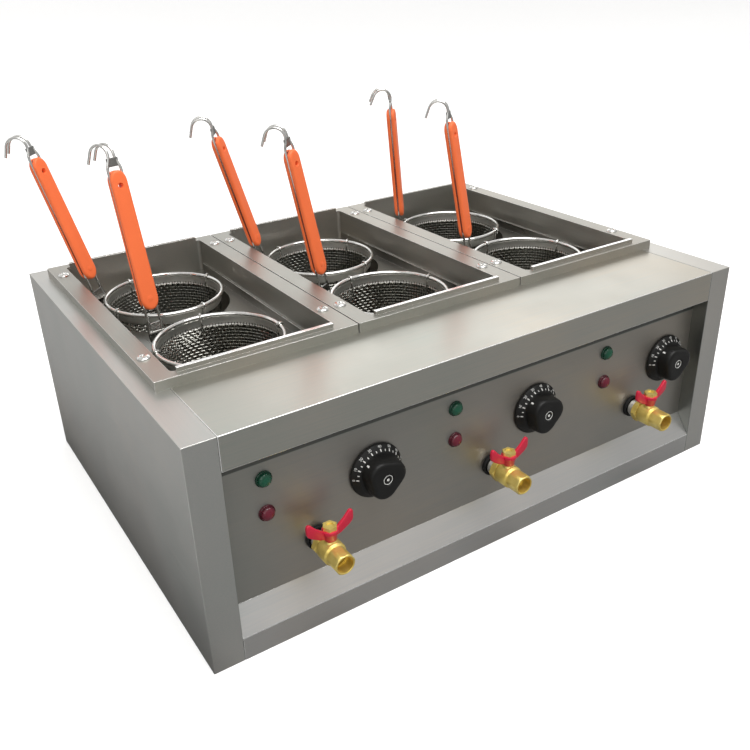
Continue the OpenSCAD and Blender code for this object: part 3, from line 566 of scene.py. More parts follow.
# Woven baskets: one cup of crossing wires, used six times
CUP_LOW, CUP_HIGH = box("left_front_cup")
CUP_Z, CUP_TOP_Z, CUP_TOP_R = CUP_LOW.z, CUP_HIGH.z, (CUP_HIGH.x - CUP_LOW.x) / 2
CUP_FOOT_R, CUP_CORNER = 60.0, 9.0
CUP_TAPER = (CUP_TOP_R - CUP_FOOT_R) / (CUP_TOP_Z - CUP_Z)
RING_Z, RING_R, RING_WIRE = 234.0, 70.5, 5.0
WEAVE, WIRE_R, BAND_H, UPRIGHTS = 3.8, 0.44, 9.5, 116
WEAVE_INSET, WEAVE_LAP, WIRE_SIDES = 1.25, 3.0, 4
WALL_STEPS, CORNER_STEPS = 40, 16
FLOOR_LAP, SEAM_R, BAND_T = 1.0, 0.9, 0.9
RIB_WIRE, LOOP_WIRE, BASKET_ROOM = 2.6, 2.4, 0.3


def cup_line():
    """Points (r, z, normal r, normal z) down the wall and round the lower edge. Also the floor's radius."""
    foot = CUP_FOOT_R + CUP_TAPER * CUP_CORNER - WEAVE_INSET
    corner = CUP_CORNER - WEAVE_INSET
    high = CUP_TOP_Z - BAND_H + WEAVE_LAP
    line = []
    for n in range(WALL_STEPS + 1):
        z = high - n * (high - CUP_Z - CUP_CORNER) / WALL_STEPS
        line.append((CUP_FOOT_R + CUP_TAPER * (z - CUP_Z) - WEAVE_INSET, z, 1.0, 0.0))
    for n in range(1, CORNER_STEPS + 1):
        a = radians(90 * n / CORNER_STEPS)
        line.append((foot - corner + corner * cos(a), CUP_Z + CUP_CORNER - corner * sin(a),
                     cos(a), -sin(a)))
    return line, foot - corner + FLOOR_LAP


def cup_wires():
    """Uprights and hoops that pass over and under each other, a woven floor, and the floor's seam."""
    line, edge = cup_line()
    run = [0.0]
    for p, q in zip(line, line[1:]):
        run.append(run[-1] + hypot(q[0] - p[0], q[1] - p[1]))

    def on(s):
        for i in range(len(run) - 1):
            if s <= run[i + 1] or i == len(run) - 2:
                t = min(1.0, (s - run[i]) / (run[i + 1] - run[i]))
                return [a + (b - a) * t for a, b in zip(line[i], line[i + 1])]

    hoops = int(run[-1] / WEAVE)
    pitch = run[-1] / hoops
    shapes = []
    for j in range(UPRIGHTS):
        angle = 2 * pi * j / UPRIGHTS
        pts = []
        for i in range(2 * hoops + 1):
            s = i * pitch / 2
            r, z, nr, nz = on(s)
            off = WIRE_R * cos(pi * (s / pitch + j))
            pts.append(((r + off * nr) * cos(angle), (r + off * nr) * sin(angle), z + off * nz))
        shapes.append(tube(pts, WIRE_R, WIRE_SIDES))
    for k in range(1, hoops + 1):
        r, z, nr, nz = on(k * pitch)
        pts = []
        for i in range(2 * UPRIGHTS):
            angle = pi * i / UPRIGHTS
            off = -WIRE_R * cos(pi * (k + i / 2))
            pts.append(((r + off * nr) * cos(angle), (r + off * nr) * sin(angle), z + off * nz))
        shapes.append(tube(pts, WIRE_R, WIRE_SIDES, closed=True))
    rows = int(edge / WEAVE)
    for way in (0, 1):
        for n in range(-rows, rows + 1):
            half = sqrt(edge ** 2 - (n * WEAVE) ** 2)
            steps = max(2, int(2 * half / (WEAVE / 2)))
            pts = []
            for i in range(steps + 1):
                u = -half + 2 * half * i / steps
                off = WIRE_R * cos(pi * (u / WEAVE + n)) * (1 if way else -1)
                p = (u, n * WEAVE) if way else (n * WEAVE, u)
                pts.append((p[0], p[1], CUP_Z + WEAVE_INSET + off))
            shapes.append(tube(pts, WIRE_R, WIRE_SIDES))
    seam = circle(edge, CUP_Z + WEAVE_INSET + SEAM_R, 90)
    shapes.append(tube(seam, SEAM_R, 6, closed=True))
    return gather(*shapes)


def cup_band():
    """The plain strip between the ring and the weave, with its edges rolled in."""
    low = CUP_TOP_Z - BAND_H
    low_r = CUP_FOOT_R + CUP_TAPER * (low - CUP_Z)
    out = [(low_r - 0.35, low), (low_r - 0.05, low + 0.5), (low_r + 0.1, low + 1.4),
           (low_r + 0.05, low + 2.6), (CUP_TOP_R - 0.05, CUP_TOP_Z - 1), (CUP_TOP_R - 0.3, CUP_TOP_Z)]
    inner = [(r - BAND_T, z) for r, z in reversed(out)]
    return lathe(out + inner, 96, closed=True)


def rib_loop():
    """A rib wire's upper end: over the ring, and down inside the cup."""
    lap = (RING_WIRE + LOOP_WIRE) / 2 - 0.1
    pts = []
    for n in range(25):
        a = radians(-52 + 284 * n / 24)
        pts.append((RING_R + lap * cos(a), 0, RING_Z + lap * sin(a)))
    x, _, z = pts[-1]
    for n in range(1, 8):
        pts.append((x - 1.2 + 0.72 * cos(n * 0.35) - 0.07 * n, 0, z - 2.2 * n))
    return tube(pts, LOOP_WIRE / 2, 8)


def ring_wires():
    """The ring, and four ribs that loop over it and run down outside the cup."""
    out = RIB_WIRE / 2 + BASKET_ROOM
    foot_r = CUP_FOOT_R + CUP_TAPER * CUP_CORNER + out
    rib = tube([(CUP_TOP_R + out, 0, RING_Z), (foot_r, 0, CUP_Z + CUP_CORNER)], RIB_WIRE / 2, 12)
    shapes = [tube(circle(RING_R, RING_Z, 120), RING_WIRE / 2, 16, closed=True)]
    for n in range(4):
        shapes.append(moved(gather(rib, rib_loop()), turn(45 + 90 * n, "Z")))
    return gather(*shapes)


# Handles: the bearing, lean and sway of each in degrees, then the shape that all six share
YAW = (130, 154, 146, 161, 146, 167)
LEAN = (10, 15, 10, 15, 9, 5)
SWAY = (-5, -2, 2, 4, -1, 2)
HANDLE_TURN, LEG_GAP, LEG_WIRE, LEG_WELD = -30, 15.0, 3.0, 0.9
LEG_SEAT = RING_R + RING_WIRE / 2 + LEG_WIRE / 2 - LEG_WELD
HANDLE_REACH = (sqrt(LEG_SEAT ** 2 - (LEG_GAP / 2 * cos(radians(HANDLE_TURN))) ** 2)
                - LEG_GAP / 2 * sin(radians(HANDLE_TURN)))
GRIP_Z, GRIP_L, GRIP_W, GRIP_TOP_W = 27.0, 152.0, 20.5, 18.6
GRIP_TOP_END, GRIP_FOOT_END = (9.2, 12.0), (10.0, 13.0)
GRIP_HOLE_DROP, GRIP_HOLE_R, GRIP_SINK_R, GRIP_RIVET_RISE = 16.0, 2.6, 3.6, 13.0
SEAM_W = 1.05
GRIP_LEVELS = ((0.2, 0.8), (SEAM_W, 0.8), (1.3, 0.25), (1.8, 0.05), (2.3, 0.0), (3.1, 0.0), (4.1, 0.25),
               (4.85, 0.75), (5.35, 1.5), (5.62, 2.6), (5.72, 4.2), (5.75, 6.0))


def handle_place(k):
    return (at(CUP[k].x, CUP[k].y, RING_Z) @ turn(YAW[k], "Z") @ at(HANDLE_REACH, 0, 0)
            @ turn(LEAN[k], "Y") @ turn(-SWAY[k], "X") @ turn(HANDLE_TURN, "Z"))


HOOK_TWIST, HOOK_GAP, HOOK_R, HOOK_NECK, HOOK_TIPS = 24, 9.0, 12.0, 16.0, (9.0, 12.0)
HOOK_BEND = 156
LEG_FOOT, LEG_START = 12.0, 13.0
FOOT_LEG_Z, FOOT_SIDES = (15, 11, 7, 3), 16
PRESS_TOP, PRESS_RUN, PRESS_BROAD, PRESS_THIN = 13, 9, 1.7, 0.35
FOOT_CLIP_LOW, FOOT_CLIP_TOP = LEG_GAP / 2 - LEG_FOOT - 2, 12.0
CLIP_H, CLIP_T, CLIP_EASE, CLIP_INSET, CLIP_RISE = 9.0, 1.6, 0.4, 1.4, 4.0


def flat_foot():
    """The handle's lower bend, pressed flat where it lies against the ring."""
    bend = LEG_GAP / 2
    low = bend - LEG_FOOT
    line = [(-bend, z) for z in FOOT_LEG_Z]
    line += [(-bend * cos(pi * n / 16), low - bend * sin(pi * n / 16)) for n in range(17)]
    line += [(bend, z) for z in reversed(FOOT_LEG_Z)]
    verts, rings = [], []
    for i, (y, z) in enumerate(line):
        ahead, behind = line[min(i + 1, len(line) - 1)], line[max(i - 1, 0)]
        way = Vector((0, ahead[0] - behind[0], ahead[1] - behind[1])).normalized()
        across = way.cross(Vector((1, 0, 0)))
        pressed = min(1.0, max(0.0, (PRESS_TOP - z) / PRESS_RUN))
        broad = LEG_WIRE / 2 + PRESS_BROAD * pressed
        thick = LEG_WIRE / 2 - PRESS_THIN * pressed
        rings.append(list(range(len(verts), len(verts) + FOOT_SIDES)))
        for s in range(FOOT_SIDES):
            a = 2 * pi * s / FOOT_SIDES
            verts.append(Vector((thick * cos(a), y, z)) + across * (broad * sin(a)))
    return verts, capped(rings)


def clip(gap, low, high):
    """A pressed strip that ties the two wires together."""
    verts, rings = [], []
    tall = high - low
    for z, inset in ((0, CLIP_EASE), (CLIP_EASE, 0), (tall - CLIP_EASE, 0), (tall, CLIP_EASE)):
        x, y = CLIP_T / 2 - inset, gap / 2 - inset
        rings.append(list(range(len(verts), len(verts) + 4)))
        verts += [(-x, -y, low + z), (x, -y, low + z), (x, y, low + z), (-x, y, low + z)]
    return verts, capped(rings)


def handle_wires():
    """One bent wire: a flat foot, two legs inside the grip, and two hooks that turn aside and lie closer.
    Also the number of faces, counted from the first, that belong to the foot and the clips."""
    grip_top = GRIP_Z + GRIP_L
    aside = turn(HOOK_TWIST, "Z")
    neck = clip(LEG_GAP - CLIP_INSET, grip_top + CLIP_RISE, grip_top + CLIP_RISE + CLIP_H)
    foot = clip(LEG_GAP, FOOT_CLIP_LOW, FOOT_CLIP_TOP)
    pressed = [flat_foot(), foot, moved(neck, turn(HOOK_TWIST / 3, "Z"))]
    shapes = list(pressed)
    for sign, tip in zip((-1, 1), HOOK_TIPS):
        leg = Vector((0, sign * LEG_GAP / 2, 0))
        hook = aside @ Vector((0, sign * HOOK_GAP / 2, 0))
        pts = [leg + Vector((0, 0, z)) for z in (LEG_START, 40, 100, grip_top - 6, grip_top)]
        for n in range(1, 9):
            t = n / 8
            pts.append(leg.lerp(hook, t * t * (3 - 2 * t)) + Vector((0, 0, grip_top + t * HOOK_NECK)))
        for n in range(1, 19):
            a = radians(HOOK_BEND * n / 18)
            pts.append(hook + aside @ Vector((HOOK_R - HOOK_R * cos(a), 0, 0))
                       + Vector((0, 0, grip_top + HOOK_NECK + HOOK_R * sin(a))))
        end, way = pts[-1], (pts[-1] - pts[-2]).normalized()
        pts += [end + way * (tip * n / 3) for n in (1, 2, 3)]
        shapes.append(tube(pts, LEG_WIRE / 2, 12))
    return gather(*shapes), sum(len(faces) for _, faces in pressed)


def grip_outline(inset):
    """The grip's outline in Y and Z, drawn in by inset. It narrows upwards and has a longer foot than top."""
    half, low, high = GRIP_W / 2 - inset, GRIP_Z + inset, GRIP_Z + GRIP_L - inset
    pts = []
    for start, end, end_z in ((0, GRIP_TOP_END, high), (180, GRIP_FOOT_END, low)):
        r, h = [max(0.3, size - inset) for size in end]
        z = end_z - h if start == 0 else end_z + h
        for n in range(21):
            a = radians(start + 180 * n / 20)
            side = 1 if cos(a) > 1e-9 else -1 if cos(a) < -1e-9 else 0
            y, up = side * (half - r) + r * cos(a), z + h * sin(a)
            narrow = 1 - (1 - GRIP_TOP_W / GRIP_W) * (up - GRIP_Z) / GRIP_L
            pts.append((y * narrow, up))
    return pts


def grip_half():
    """Half of a grip, from the parting groove to its crowned face, in the handle's frame."""
    verts, rings = [], []
    for x, inset in GRIP_LEVELS:
        ring = grip_outline(inset)
        rings.append(list(range(len(verts), len(verts) + len(ring))))
        verts += [(x, y, z) for y, z in ring]
    return verts, skin(rings) + [tuple(rings[-1]), tuple(reversed(rings[0]))]


def cut_away(name, shape, cutter, finish):
    """A shape with cutter taken out of it."""
    whole, tool = [new_object(name, make_mesh(name, part, finish)) for part in (shape, cutter)]
    cut = whole.modifiers.new("cut", "BOOLEAN")
    cut.operation = "DIFFERENCE"
    cut.solver = "EXACT"
    cut.object = tool
    mesh = baked(whole)
    bpy.data.objects.remove(tool)
    return shape_of(mesh)


def grip_mesh():
    """Both halves with the hanging hole cut through them, and a low rivet near the foot."""
    half = grip_half()
    hole = lathe([(0, -9), (GRIP_SINK_R, -9), (GRIP_SINK_R, -6.3), (GRIP_HOLE_R, -5.0), (GRIP_HOLE_R, 5.0),
                  (GRIP_SINK_R, 6.3), (GRIP_SINK_R, 9), (0, 9)], 40)
    hole = moved(hole, shift(0, 0, GRIP_Z + GRIP_L - GRIP_HOLE_DROP) @ turn(90, "Y"))
    body = cut_away("grip", gather(half, moved(half, turn(180, "Z"))), hole, "orange")
    rivet = lathe([(3.2, 5.6), (3.1, 5.95), (2.6, 6.1), (0, 6.15)], 32)
    rivets = [moved(rivet, shift(0, 0, GRIP_Z + GRIP_RIVET_RISE) @ turn(sign * 90, "Y")) for sign in (1, -1)]
    mesh = make_mesh("grip", gather(body, *rivets), "orange")
    mesh.materials.append(MATS["seam"])
    # The faces of the parting groove take the dark brown, painted shade in the groove.
    for p in mesh.polygons:
        if all(abs(mesh.vertices[v].co.x) < (SEAM_W + 0.02) * MM for v in p.vertices):
            p.material_index = 1
    return mesh


cup_mesh = make_mesh("woven_cup", cup_wires(), "woven")
band_mesh = make_mesh("cup_band", cup_band(), "band")
ring_mesh = make_mesh("ring_wires", ring_wires(), "polished")
wires, pressed = handle_wires()
handle_mesh = make_mesh("handle_wires", wires, "polished")
handle_mesh.materials.append(MATS["foot"])
for p in handle_mesh.polygons[:pressed]:
    p.material_index = 1
grips = grip_mesh()
for k, key in enumerate(BASKETS):
    body = key + "_basket"
    centre = at(CUP[k].x, CUP[k].y, 0)
    put(key + "_woven_cup", cup_mesh, body, centre, (key + "_cup",))
    put(key + "_cup_band", band_mesh, body, centre)
    put(key + "_ring_wires", ring_mesh, body, centre @ turn(YAW[k], "Z"), (key + "_frame",))
    put(key + "_handle_wires", handle_mesh, body, handle_place(k))
    put(key + "_grip_halves", grips, body, handle_place(k), (key + "_grip",))


# Cross-slotted screws
RECESS = 0.62
HEAD_RINGS, HEAD_STEPS = 26, 64


def screw_head(d, h, slot_l, slot_w):
    """A domed head with steep flanks and a cross recess pressed into it."""
    r = d / 2
    verts, rings = [(0, 0, h - RECESS * h)], [[0]]
    for n in range(1, HEAD_RINGS + 1):
        rho = r * sin(pi / 2 * n / HEAD_RINGS)
        rings.append(list(range(len(verts), len(verts) + HEAD_STEPS)))
        for i in range(HEAD_STEPS):
            a = 2 * pi * i / HEAD_STEPS
            x, y = rho * cos(a), rho * sin(a)
            z = h * sqrt(max(0.0, 1 - (rho / r) ** 3))
            across = min(1.0, max(0.0, (slot_w / 2 - min(abs(x), abs(y))) / 0.25 + 0.5))
            along = min(1.0, max(0.0, (slot_l / 2 - max(abs(x), abs(y))) / 0.4 + 0.5))
            verts.append((x, y, z - across * along * RECESS * h))
    rings.append(list(range(len(verts), len(verts) + HEAD_STEPS)))
    verts += circle(r - 0.2, -0.1, HEAD_STEPS)
    return verts, skin(rings)


def put_screws(name, heads, node):
    put(name, make_mesh(name, gather(*heads), "screw"), "casing", hide=(node,))


RIM_SCREW_X = TANK[0].x - RIM_SCREW_D / 2 - box("tank_screws")[0].x
RIM_SCREW_Y, RIM_SLOT = (-96.0, 192.0), (6.4, 1.7)
BACK_SCREW_D, BACK_SCREW_H, BACK_SLOT = 8.0, 2.4, (4.2, 1.2)
BACK_SCREW_X = box("back_screws")[1].x - BACK_SCREW_D / 2
BACK_SCREW_Z, BACK_SCREW_STEP, BACK_FACE_Y = 30.0, 190.0 / 3, box("back_panel")[1].y
head = screw_head(RIM_SCREW_D, RIM_SCREW_H, *RIM_SLOT)
heads = []
for tank in TANK:
    for dx in (-RIM_SCREW_X, RIM_SCREW_X):
        for y in RIM_SCREW_Y:
            spin = turn(17 + 53 * len(heads), "Z")
            heads.append(moved(head, shift(tank.x + dx, y, RIM_TOP) @ spin))
put_screws("rim_screw_heads", heads, "tank_screws")
head = screw_head(BACK_SCREW_D, BACK_SCREW_H, *BACK_SLOT)
heads = []
for n in range(4):
    for x in (-BACK_SCREW_X, BACK_SCREW_X):
        spin = turn(-90, "X") @ turn(31 * n + x, "Z")
        heads.append(moved(head, shift(x, BACK_FACE_Y, BACK_SCREW_Z + n * BACK_SCREW_STEP) @ spin))
put_screws("back_screw_heads", heads, "back_screws")


# Thermostat knobs
KNOB_LOW, KNOB_HIGH = box("left_knob")
KNOB_ROOM, KNOB_H = PANEL_Y - KNOB_HIGH.y, KNOB_HIGH.y - KNOB_LOW.y
DIAL_R, DIAL_H, DIAL_EDGE, DIAL_SLOPE = (KNOB_HIGH.x - KNOB_LOW.x) / 2, 9.0, 2.7, 7.0
LOBE_R, HOLLOW = 23.5, 4.0
KNOB_STEPS, WELL_DEPTH = 120, 1.1


def lobe(angle, inset):
    """The cap's three-lobed outline, drawn in by inset."""
    wave = (1 - cos(3 * angle - radians(45))) / 2
    return LOBE_R - HOLLOW * wave ** 1.15 - inset


def knob_body():
    """The dial with its sloping face, and the lobed cap with a shallow well in its face."""
    skirt = [(0, 0), (DIAL_R - 0.5, 0.0), (DIAL_R - 0.1, 0.3), (DIAL_R, 0.8), (DIAL_R, DIAL_EDGE - 0.5),
             (DIAL_R - 0.25, DIAL_EDGE + 0.15), (DIAL_R - 0.8, DIAL_EDGE + 0.75)]
    for n in range(1, 8):
        t = n / 7
        skirt.append((DIAL_R - 0.8 - t * (DIAL_SLOPE - 1.2),
                      DIAL_EDGE + 0.75 + t * (DIAL_H - DIAL_EDGE - 1.0)))
    skirt += [(DIAL_R - DIAL_SLOPE - 0.5, DIAL_H), (0, DIAL_H)]
    sides = [(DIAL_H - 0.4, -0.4), (DIAL_H + 0.3, 0.0), (DIAL_H + 1.3, 0.15), (DIAL_H + 3, 0.25),
             (DIAL_H + 8, 0.6), (KNOB_H - 4.0, 1.0), (KNOB_H - 2.4, 1.4), (KNOB_H - 1.2, 2.1),
             (KNOB_H - 0.4, 3.2), (KNOB_H, 4.8), (KNOB_H, 7.0)]
    well = [(KNOB_H - 0.1, 8.2), (KNOB_H - 0.25, 7.1), (KNOB_H - 0.4, 6.6), (KNOB_H - 1.0, 6.3),
            (KNOB_H - WELL_DEPTH, 5.9), (KNOB_H - WELL_DEPTH, 0.0)]
    levels = [(z, (inset, None)) for z, inset in sides] + [(z, (0, r)) for z, r in well]

    def radius(a, key):
        inset, r = key
        return lobe(a, inset) if r is None else r

    return gather(lathe(skirt, KNOB_STEPS), loft(levels, KNOB_STEPS, radius))


def slope_place(angle, r):
    """A place on the dial's sloping face: local X across, local Y outwards, local Z off the face."""
    fall = atan2(DIAL_H - DIAL_EDGE, DIAL_SLOPE)
    z = DIAL_H - (r - (DIAL_R - DIAL_SLOPE)) * tan(fall) + 0.02
    return turn(angle - 90, "Z") @ shift(0, r, z) @ turn(-degrees(fall), "X")


def numeral(text, height):
    """A number as a thin solid, standing in the plane of X and Y."""
    curve = bpy.data.curves.new("numeral", "FONT")
    curve.body = text
    curve.size = height
    curve.align_x = "CENTER"
    curve.align_y = "CENTER"
    curve.extrude = 0.05
    curve.resolution_u = 3
    return shape_of(baked(new_object("numeral", curve)), 1.0)


def bar(w, l, h, ease):
    """A low printed bar with eased edges."""
    low = [(-w / 2, -l / 2), (w / 2, -l / 2), (w / 2, l / 2), (-w / 2, l / 2)]
    top = [(x - copysign(ease, x), y - copysign(ease, y)) for x, y in low]
    verts = [(x, y, 0) for x, y in low] + [(x, y, h) for x, y in top]
    return verts, skin([[0, 1, 2, 3], [4, 5, 6, 7]]) + [(4, 5, 6, 7)]


TICKS, FIRST_TICK, TICK_STEP, TICK_WORTH = 23, 180, 12, 5
LONG_TICK, SHORT_TICK, PRINT_H = (1.25, 3.0, 25.1), (1.0, 2.2, 24.8), 0.12
NUMERAL_H, NUMERAL_R = 3.9, 28.0
FACE_RING_R, FACE_RING_WIRE_R = 4.9, 0.34


def dial_print():
    """Ticks with numbers at every second one, the pointer, and a plain ring and dot on the face."""
    shapes = []
    for n in range(TICKS):
        angle = FIRST_TICK - TICK_STEP * n
        long = n % 2 == 0
        w, l, r = LONG_TICK if long else SHORT_TICK
        shapes.append(moved(bar(w, l, PRINT_H, PRINT_H), slope_place(angle, r)))
        if long:
            shapes.append(moved(numeral(str(TICK_WORTH * n), NUMERAL_H), slope_place(angle, NUMERAL_R)))
    pointer = turn(135, "Z") @ shift(LOBE_R - 0.45, 0, DIAL_H + 4.0) @ turn(90, "Z") @ turn(87, "X")
    shapes.append(moved(bar(2.2, 3.6, 0.3, 0.3), pointer))
    shapes.append(tube(circle(FACE_RING_R, KNOB_H - 1.05, 48), FACE_RING_WIRE_R, 6, closed=True))
    shapes.append(moved(lathe([(1.5, 0), (1.4, 0.2), (0, 0.3)], 24), shift(0, 0, KNOB_H - WELL_DEPTH)))
    return gather(*shapes)


knob_mesh = make_mesh("knob", knob_body(), "black")
print_mesh = make_mesh("dial_print", dial_print(), "print")
for side in SIDES:
    knob = middle(side + "_knob")
    place = on_panel(knob.x, knob.z) @ at(0, 0, KNOB_ROOM)
    put(side + "_knob_moulding", knob_mesh, side + "_knob_body", place, (side + "_knob",))
    put(side + "_dial_print", print_mesh, side + "_knob_body", place)


# Pilot lamps: a flanged lens with ribs round its dome
LAMP_LOW, LAMP_HIGH = box("green_lenses")
LENS_R, LENS_H, LENS_RIBS, LENS_RIB_DEPTH = 8.5, LAMP_HIGH.y - LAMP_LOW.y, 20, 0.018
LAMP_X = (LAMP_LOW.x + LENS_R, (LAMP_LOW.x + LAMP_HIGH.x) / 2, LAMP_HIGH.x - LENS_R)
DOME_R, DOME_Z, DOME_STEPS = LENS_R - 1.0, 1.85, 12


def lens_shape():
    """Points, faces and each point's share of the way from the rim to the middle."""
    levels = [(0.0, LENS_R), (1.2, LENS_R), (1.75, LENS_R - 0.25), (2.0, LENS_R - 0.7), (DOME_Z, DOME_R)]
    for n in range(1, DOME_STEPS):
        a = radians(90 * n / DOME_STEPS)
        levels.append((DOME_Z + (LENS_H - DOME_Z) * sin(a), DOME_R * cos(a)))
    levels.append((LENS_H, 0.0))

    def radius(a, r):
        ribbed = LENS_RIB_DEPTH if 2.0 < r < DOME_R - 0.1 else 0.0
        return r * (1 + ribbed * cos(LENS_RIBS * a))

    verts, faces = loft(levels, 80, radius)
    lit_centre = [max(0.0, 1 - hypot(x, y) / DOME_R) for x, y, _ in verts]
    return (verts, faces), lit_centre


lens, lit_centre = lens_shape()
for tint in ("green", "red"):
    z = middle(tint + "_lenses").z
    shapes = [moved(lens, shift(x, PANEL_Y, z) @ turn(90, "X")) for x in LAMP_X]
    mesh = make_mesh(tint + "_lamp_lenses", gather(*shapes), tint)
    # Each point's share paints the lens lighter in its middle and darker at its rim: painted light and shade.
    mesh.attributes.new("lit_centre", "FLOAT", "POINT").data.foreach_set("value", lit_centre * 3)
    put(tint + "_lamp_lenses", mesh, "casing", hide=(tint + "_lenses",))


# Drain taps: a cast body with a hexagon at each end
TAP_LOW, TAP_HIGH = box("left_tap_body")
PIPE_REACH, TAP_REACH = PANEL_Y - TAP_HIGH.y, PANEL_Y - TAP_LOW.y
STEM_REACH = PANEL_Y - middle("left_tap_handle").y
DRAIN_Z = middle("tap_gaskets").z
INLET_FLATS, OUTLET_FLATS, BARREL_R, NECK_R = 24.0, 21.0, 12.5, 11.25
OUTLET_BORE_R, OUTLET_DEPTH, PASSAGE_R, SEAT_R = 8.75, 12.0, 7.0, 9.8
BARREL_REACH, NECK_REACH, OUTLET_REACH = 19.0, 36.0, 37.0
BOSS_R, BOSS_H = 6.0, 13.5


def tap_casting():
    """The body along its axis and back through its bore, in rings (distance from the panel, (flats, radius)).
    A ring without flats is round, and otherwise the radius cuts the corners off."""
    start, barrel, neck, outlet, end = PIPE_REACH, BARREL_REACH, NECK_REACH, OUTLET_REACH, TAP_REACH
    inlet = [(start, 11.2), (start + 0.3, 11.9), (start + 1.0, 13.0), (start + 1.8, 13.9),
             (barrel - 1.6, 13.9), (barrel - 0.8, 13.0), (barrel - 0.1, 11.8)]
    levels = [(s, (INLET_FLATS, r)) for s, r in inlet]
    turned = [(barrel, 11.3), (barrel + 0.25, 11.3), (barrel + 0.5, 11.9), (barrel + 1.0, 12.3),
              (barrel + 1.7, BARREL_R), (neck - 1.7, BARREL_R), (neck - 0.9, 12.25), (neck - 0.4, 11.8),
              (neck, NECK_R), (outlet - 0.2, NECK_R - 0.3)]
    levels += [(s, (None, r)) for s, r in turned]
    mouth = [(outlet, 10.7), (outlet + 0.4, 11.0), (outlet + 1.1, 11.3), (end - 1.8, 11.3), (end - 1.0, 10.9),
             (end - 0.4, 10.4), (end - 0.1, 10.1)]
    levels += [(s, (OUTLET_FLATS, r)) for s, r in mouth]
    bore = [(end, 9.8), (end, 9.3), (end - 0.5, OUTLET_BORE_R), (end - OUTLET_DEPTH, OUTLET_BORE_R),
            (end - OUTLET_DEPTH, PASSAGE_R)]
    half = sqrt(SEAT_R ** 2 - PASSAGE_R ** 2)
    for n in range(13):
        s = STEM_REACH + half - 2 * half * n / 12
        bore.append((s, sqrt(SEAT_R ** 2 - (s - STEM_REACH) ** 2)))
    bore.append((start, PASSAGE_R))
    levels += [(s, (None, r)) for s, r in bore]

    def radius(a, key):
        flats, most = key
        if flats is None:
            return most
        corner = radians(degrees(a) % 60 - 30)
        return min(most, flats / 2 / cos(corner))

    boss = [(BOSS_R + 0.8, BARREL_R - 1.0), (BOSS_R + 0.2, BARREL_R - 0.2), (BOSS_R, BARREL_R + 0.4),
            (BOSS_R - 0.3, BOSS_H - 0.15), (BOSS_R - 0.6, BOSS_H), (0, BOSS_H)]
    collar = moved(lathe(boss, 48), shift(0, 0, STEM_REACH) @ turn(-90, "X"))
    return gather(loft(levels, 144, radius, closed=True), collar)


HANDLE_LOW, HANDLE_HIGH = box("left_tap_handle")
HUB_Z, HUB_R = HANDLE_LOW.z - DRAIN_Z, (HANDLE_HIGH.y - HANDLE_LOW.y) / 2
HUB_H, HUB_FOOT_R, HUB_BORE_R = 12.5, 6.25, 3.7
WING_T, WING_EASE = 3.6, 1.0
WING = ((5.0, 1.6), (12.0, 4.2), (20.5, 9.2), (24.4, 12.6), (25.5, 15.6), (25.5, 22.6), (24.7, 24.6),
        (23.0, 25.5), (21.0, 24.8), (15.0, 18.0), (9.3, 13.6), (8.6, 12.6), (5.0, 12.4))


def tap_wing():
    """One wing: a plate that is broad at the hub and rises to a narrower tip, with eased edges."""
    count = len(WING)
    verts = [(x, y, z) for y in (-WING_T / 2, WING_T / 2) for x, z in WING]
    near, far = list(range(count)), list(range(count, 2 * count))
    plate = make_mesh("wing", (verts, capped([near, far])), "crimson")
    o = new_object("wing", plate)
    ease = o.modifiers.new("ease", "BEVEL")
    ease.width = WING_EASE * MM
    ease.segments = 3
    ease.angle_limit = radians(50)
    return shape_of(baked(o))


def tap_wings():
    """The pressed handle: a hub that widens upwards, and two wings."""
    hub = [(HUB_BORE_R, 0), (HUB_FOOT_R - 0.5, 0), (HUB_FOOT_R, 0.5), (HUB_R - 0.6, HUB_H - 4.2),
           (HUB_R, HUB_H - 3.6), (HUB_R, HUB_H - 0.7), (HUB_R - 0.6, HUB_H), (HUB_BORE_R, HUB_H)]
    wing = tap_wing()
    return gather(lathe(hub, 48, closed=True), wing, moved(wing, turn(180, "Z")))


wing_mesh = make_mesh("tap_wings", tap_wings(), "crimson")
tap_mesh = make_mesh("tap_casting", tap_casting(), "brass")
for tank, side in zip(TANK, SIDES):
    put(side + "_tap_casting", tap_mesh, "casing", on_panel(tank.x, DRAIN_Z), (side + "_tap_body",))
    put(side + "_tap_wings", wing_mesh, side + "_tap_valve",
        at(tank.x, PANEL_Y - STEM_REACH, DRAIN_Z + HUB_Z), (side + "_tap_handle",))


# Stage, in metres: a pale floor that curves up behind, soft light, and the photograph's camera
FLOOR_HALF, FLOOR_NEAR, SWEEP_Y, SWEEP_R, SWEEP_TOP = 8.0, -6.0, 4.0, 1.5, 6.0


def sweep_floor():
    line = [(FLOOR_NEAR, 0.0), (SWEEP_Y, 0.0)]
    for n in range(1, 13):
        a = radians(90 * n / 12)
        line.append((SWEEP_Y + SWEEP_R * sin(a), SWEEP_R - SWEEP_R * cos(a)))
    line.append((SWEEP_Y + SWEEP_R, SWEEP_TOP))
    verts, faces = [], []
    for y, z in line:
        verts += [(-FLOOR_HALF, y, z), (FLOOR_HALF, y, z)]
    for n in range(len(line) - 1):
        faces.append((2 * n, 2 * n + 1, 2 * n + 3, 2 * n + 2))
    mesh = bpy.data.meshes.new("floor")
    mesh.from_pydata(verts, [], faces)
    mesh.materials.append(studio_floor())
    for p in mesh.polygons:
        p.use_smooth = True
    new_object("floor", mesh)


FLOOR_SEEN, FLOOR_MIRRORED, FLOOR_LIFT, BACKDROP_GLOW = 0.90, 0.26, 0.32, 0.74
# Tones of the floor as the steel mirrors it: painted shade next to the casing's left side, paler further out
# and behind.
MIRROR_SHADE_NEAR, MIRROR_TONE_FAR, MIRROR_LIFT_BEHIND = 0.155, 0.46, 0.30
LEFT_X, BEHIND_Y = cad_box[0].x, cad_box[1].y


